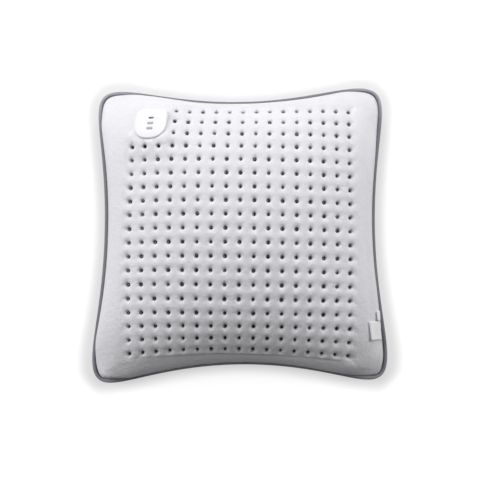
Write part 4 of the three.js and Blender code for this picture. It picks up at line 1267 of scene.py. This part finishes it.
def camera():
    data = bpy.data.cameras.new("camera")
    data.sensor_width = SENSOR_WIDTH
    data.lens = FOCAL_PIXELS / FRAME_PIXELS * SENSOR_WIDTH
    data.shift_x = (FRAME_PIXELS / 2 - PAD_MIDDLE_PIXEL[0]) / FRAME_PIXELS
    data.shift_y = (PAD_MIDDLE_PIXEL[1] - FRAME_PIXELS / 2) / FRAME_PIXELS
    data.clip_start = 0.01
    eye = bpy.data.objects.new("camera", data)
    bpy.context.scene.collection.objects.link(eye)
    away = Vector((0, -math.sin(CAMERA_TILT), math.cos(CAMERA_TILT)))
    eye.location = (Vector((0, 0, SEAM_HEIGHT)) + away * CAMERA_DISTANCE) * MM
    eye.rotation_euler = (CAMERA_TILT, 0, 0)
    bpy.context.scene.camera = eye


# Build

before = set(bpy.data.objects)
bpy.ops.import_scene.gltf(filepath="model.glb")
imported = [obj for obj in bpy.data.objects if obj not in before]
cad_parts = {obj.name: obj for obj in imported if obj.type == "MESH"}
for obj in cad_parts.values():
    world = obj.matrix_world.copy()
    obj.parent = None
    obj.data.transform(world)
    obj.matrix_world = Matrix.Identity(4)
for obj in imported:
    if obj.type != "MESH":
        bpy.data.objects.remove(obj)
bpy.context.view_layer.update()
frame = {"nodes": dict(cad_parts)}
nodes = frame["nodes"]
bpy.context.scene.view_settings.view_transform = "Standard"
camera()
light()
stage()

cover = paint(cushion(), velour())
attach(cover, "cushion")
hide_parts("front_cover", "back_cover", "cushion_filling")

stitches = paint(knots(), thread())
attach(stitches, "cushion")

edge = subdivide(piping())
paint(edge, piping_cloth())
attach(edge, "cushion")
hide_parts("piping_tape", "piping_cord")

tape = label_tape()
for name, size in LABELS.items():
    strip = paint(label(name + "_tape", cover, **size), tape)
    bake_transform(strip)
    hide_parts(name)

pod_white = moulded("pod_plastic", (0.79, 0.785, 0.81), (0.765, 0.76, 0.785), 0.42)
shell = paint(pod_shell(), pod_white)
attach(shell, "cushion")
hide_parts("pod_top_shell")

key_grey = moulded("key_rubber", (0.42, 0.42, 0.46), (0.36, 0.36, 0.40), 0.55, 1800)
dome_grey = moulded("silicone", (0.52, 0.54, 0.57), (0.46, 0.48, 0.51), 0.5)
for name, y in KEY_PLACES.items():
    cap = rounded_oblong(name + "_cap", KEY_WIDTH, KEY_HEIGHT, KEY_PROUD, y, KEY_EDGE)
    paint(cap, key_grey)
    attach(cap, name)
    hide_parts(name)
    dome = paint(key_dome(name + "_spring", y), dome_grey)
    foot = (0, y, DOME_LOW + DOME_WALL)
    top = (0, y, DOME_HIGH - DOME_WALL)
    pod_point(foot)
    pod_point(top)
    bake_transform(dome)
    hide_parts(name + "_dome")

lens = rounded_oblong(
    "indicator_lens", WINDOW_WIDTH, WINDOW_HEIGHT, WINDOW_PROUD, WINDOW_Y, WINDOW_EDGE
)
paint(lens, moulded("smoked_lens", (0.06, 0.05, 0.06), (0.04, 0.035, 0.04), 0.15, 900, 0.6))
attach(lens, "cushion")
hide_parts("led_window")

carried = {
    plated(): ["power_socket", "thermal_cutout", *(f"pod_screw_{k}" for k in range(1, 5))],
    moulded("base_plastic", (0.66, 0.66, 0.69), (0.60, 0.60, 0.63), 0.5): [
        "pod_base", "clamp_ring",
    ],
    moulded("board_green", (0.02, 0.11, 0.05), (0.015, 0.08, 0.035), 0.45): ["circuit_board"],
    moulded("chip_black", (0.02, 0.02, 0.022), (0.014, 0.014, 0.016), 0.5): ["control_chip"],
    moulded("connector_white", (0.80, 0.78, 0.70), (0.74, 0.72, 0.64), 0.5): ["heater_connector"],
    moulded("led_resin", (0.88, 0.85, 0.66), (0.80, 0.77, 0.58), 0.2): ["left_led", "right_led"],
    moulded("wire_jacket", (0.46, 0.10, 0.05), (0.38, 0.08, 0.04), 0.45): ["heating_wire"],
    moulded("lead_jacket", (0.66, 0.69, 0.72), (0.60, 0.63, 0.66), 0.45): [
        "feed_lead", "return_lead_lower", "return_lead_upper",
    ],
    fibrous("felt", (0.70, 0.67, 0.62), (0.58, 0.55, 0.50), 500): [
        "heater_top_felt", "heater_bottom_felt",
    ],
}
for material, names in carried.items():
    for name in names:
        paint(nodes[name], material)
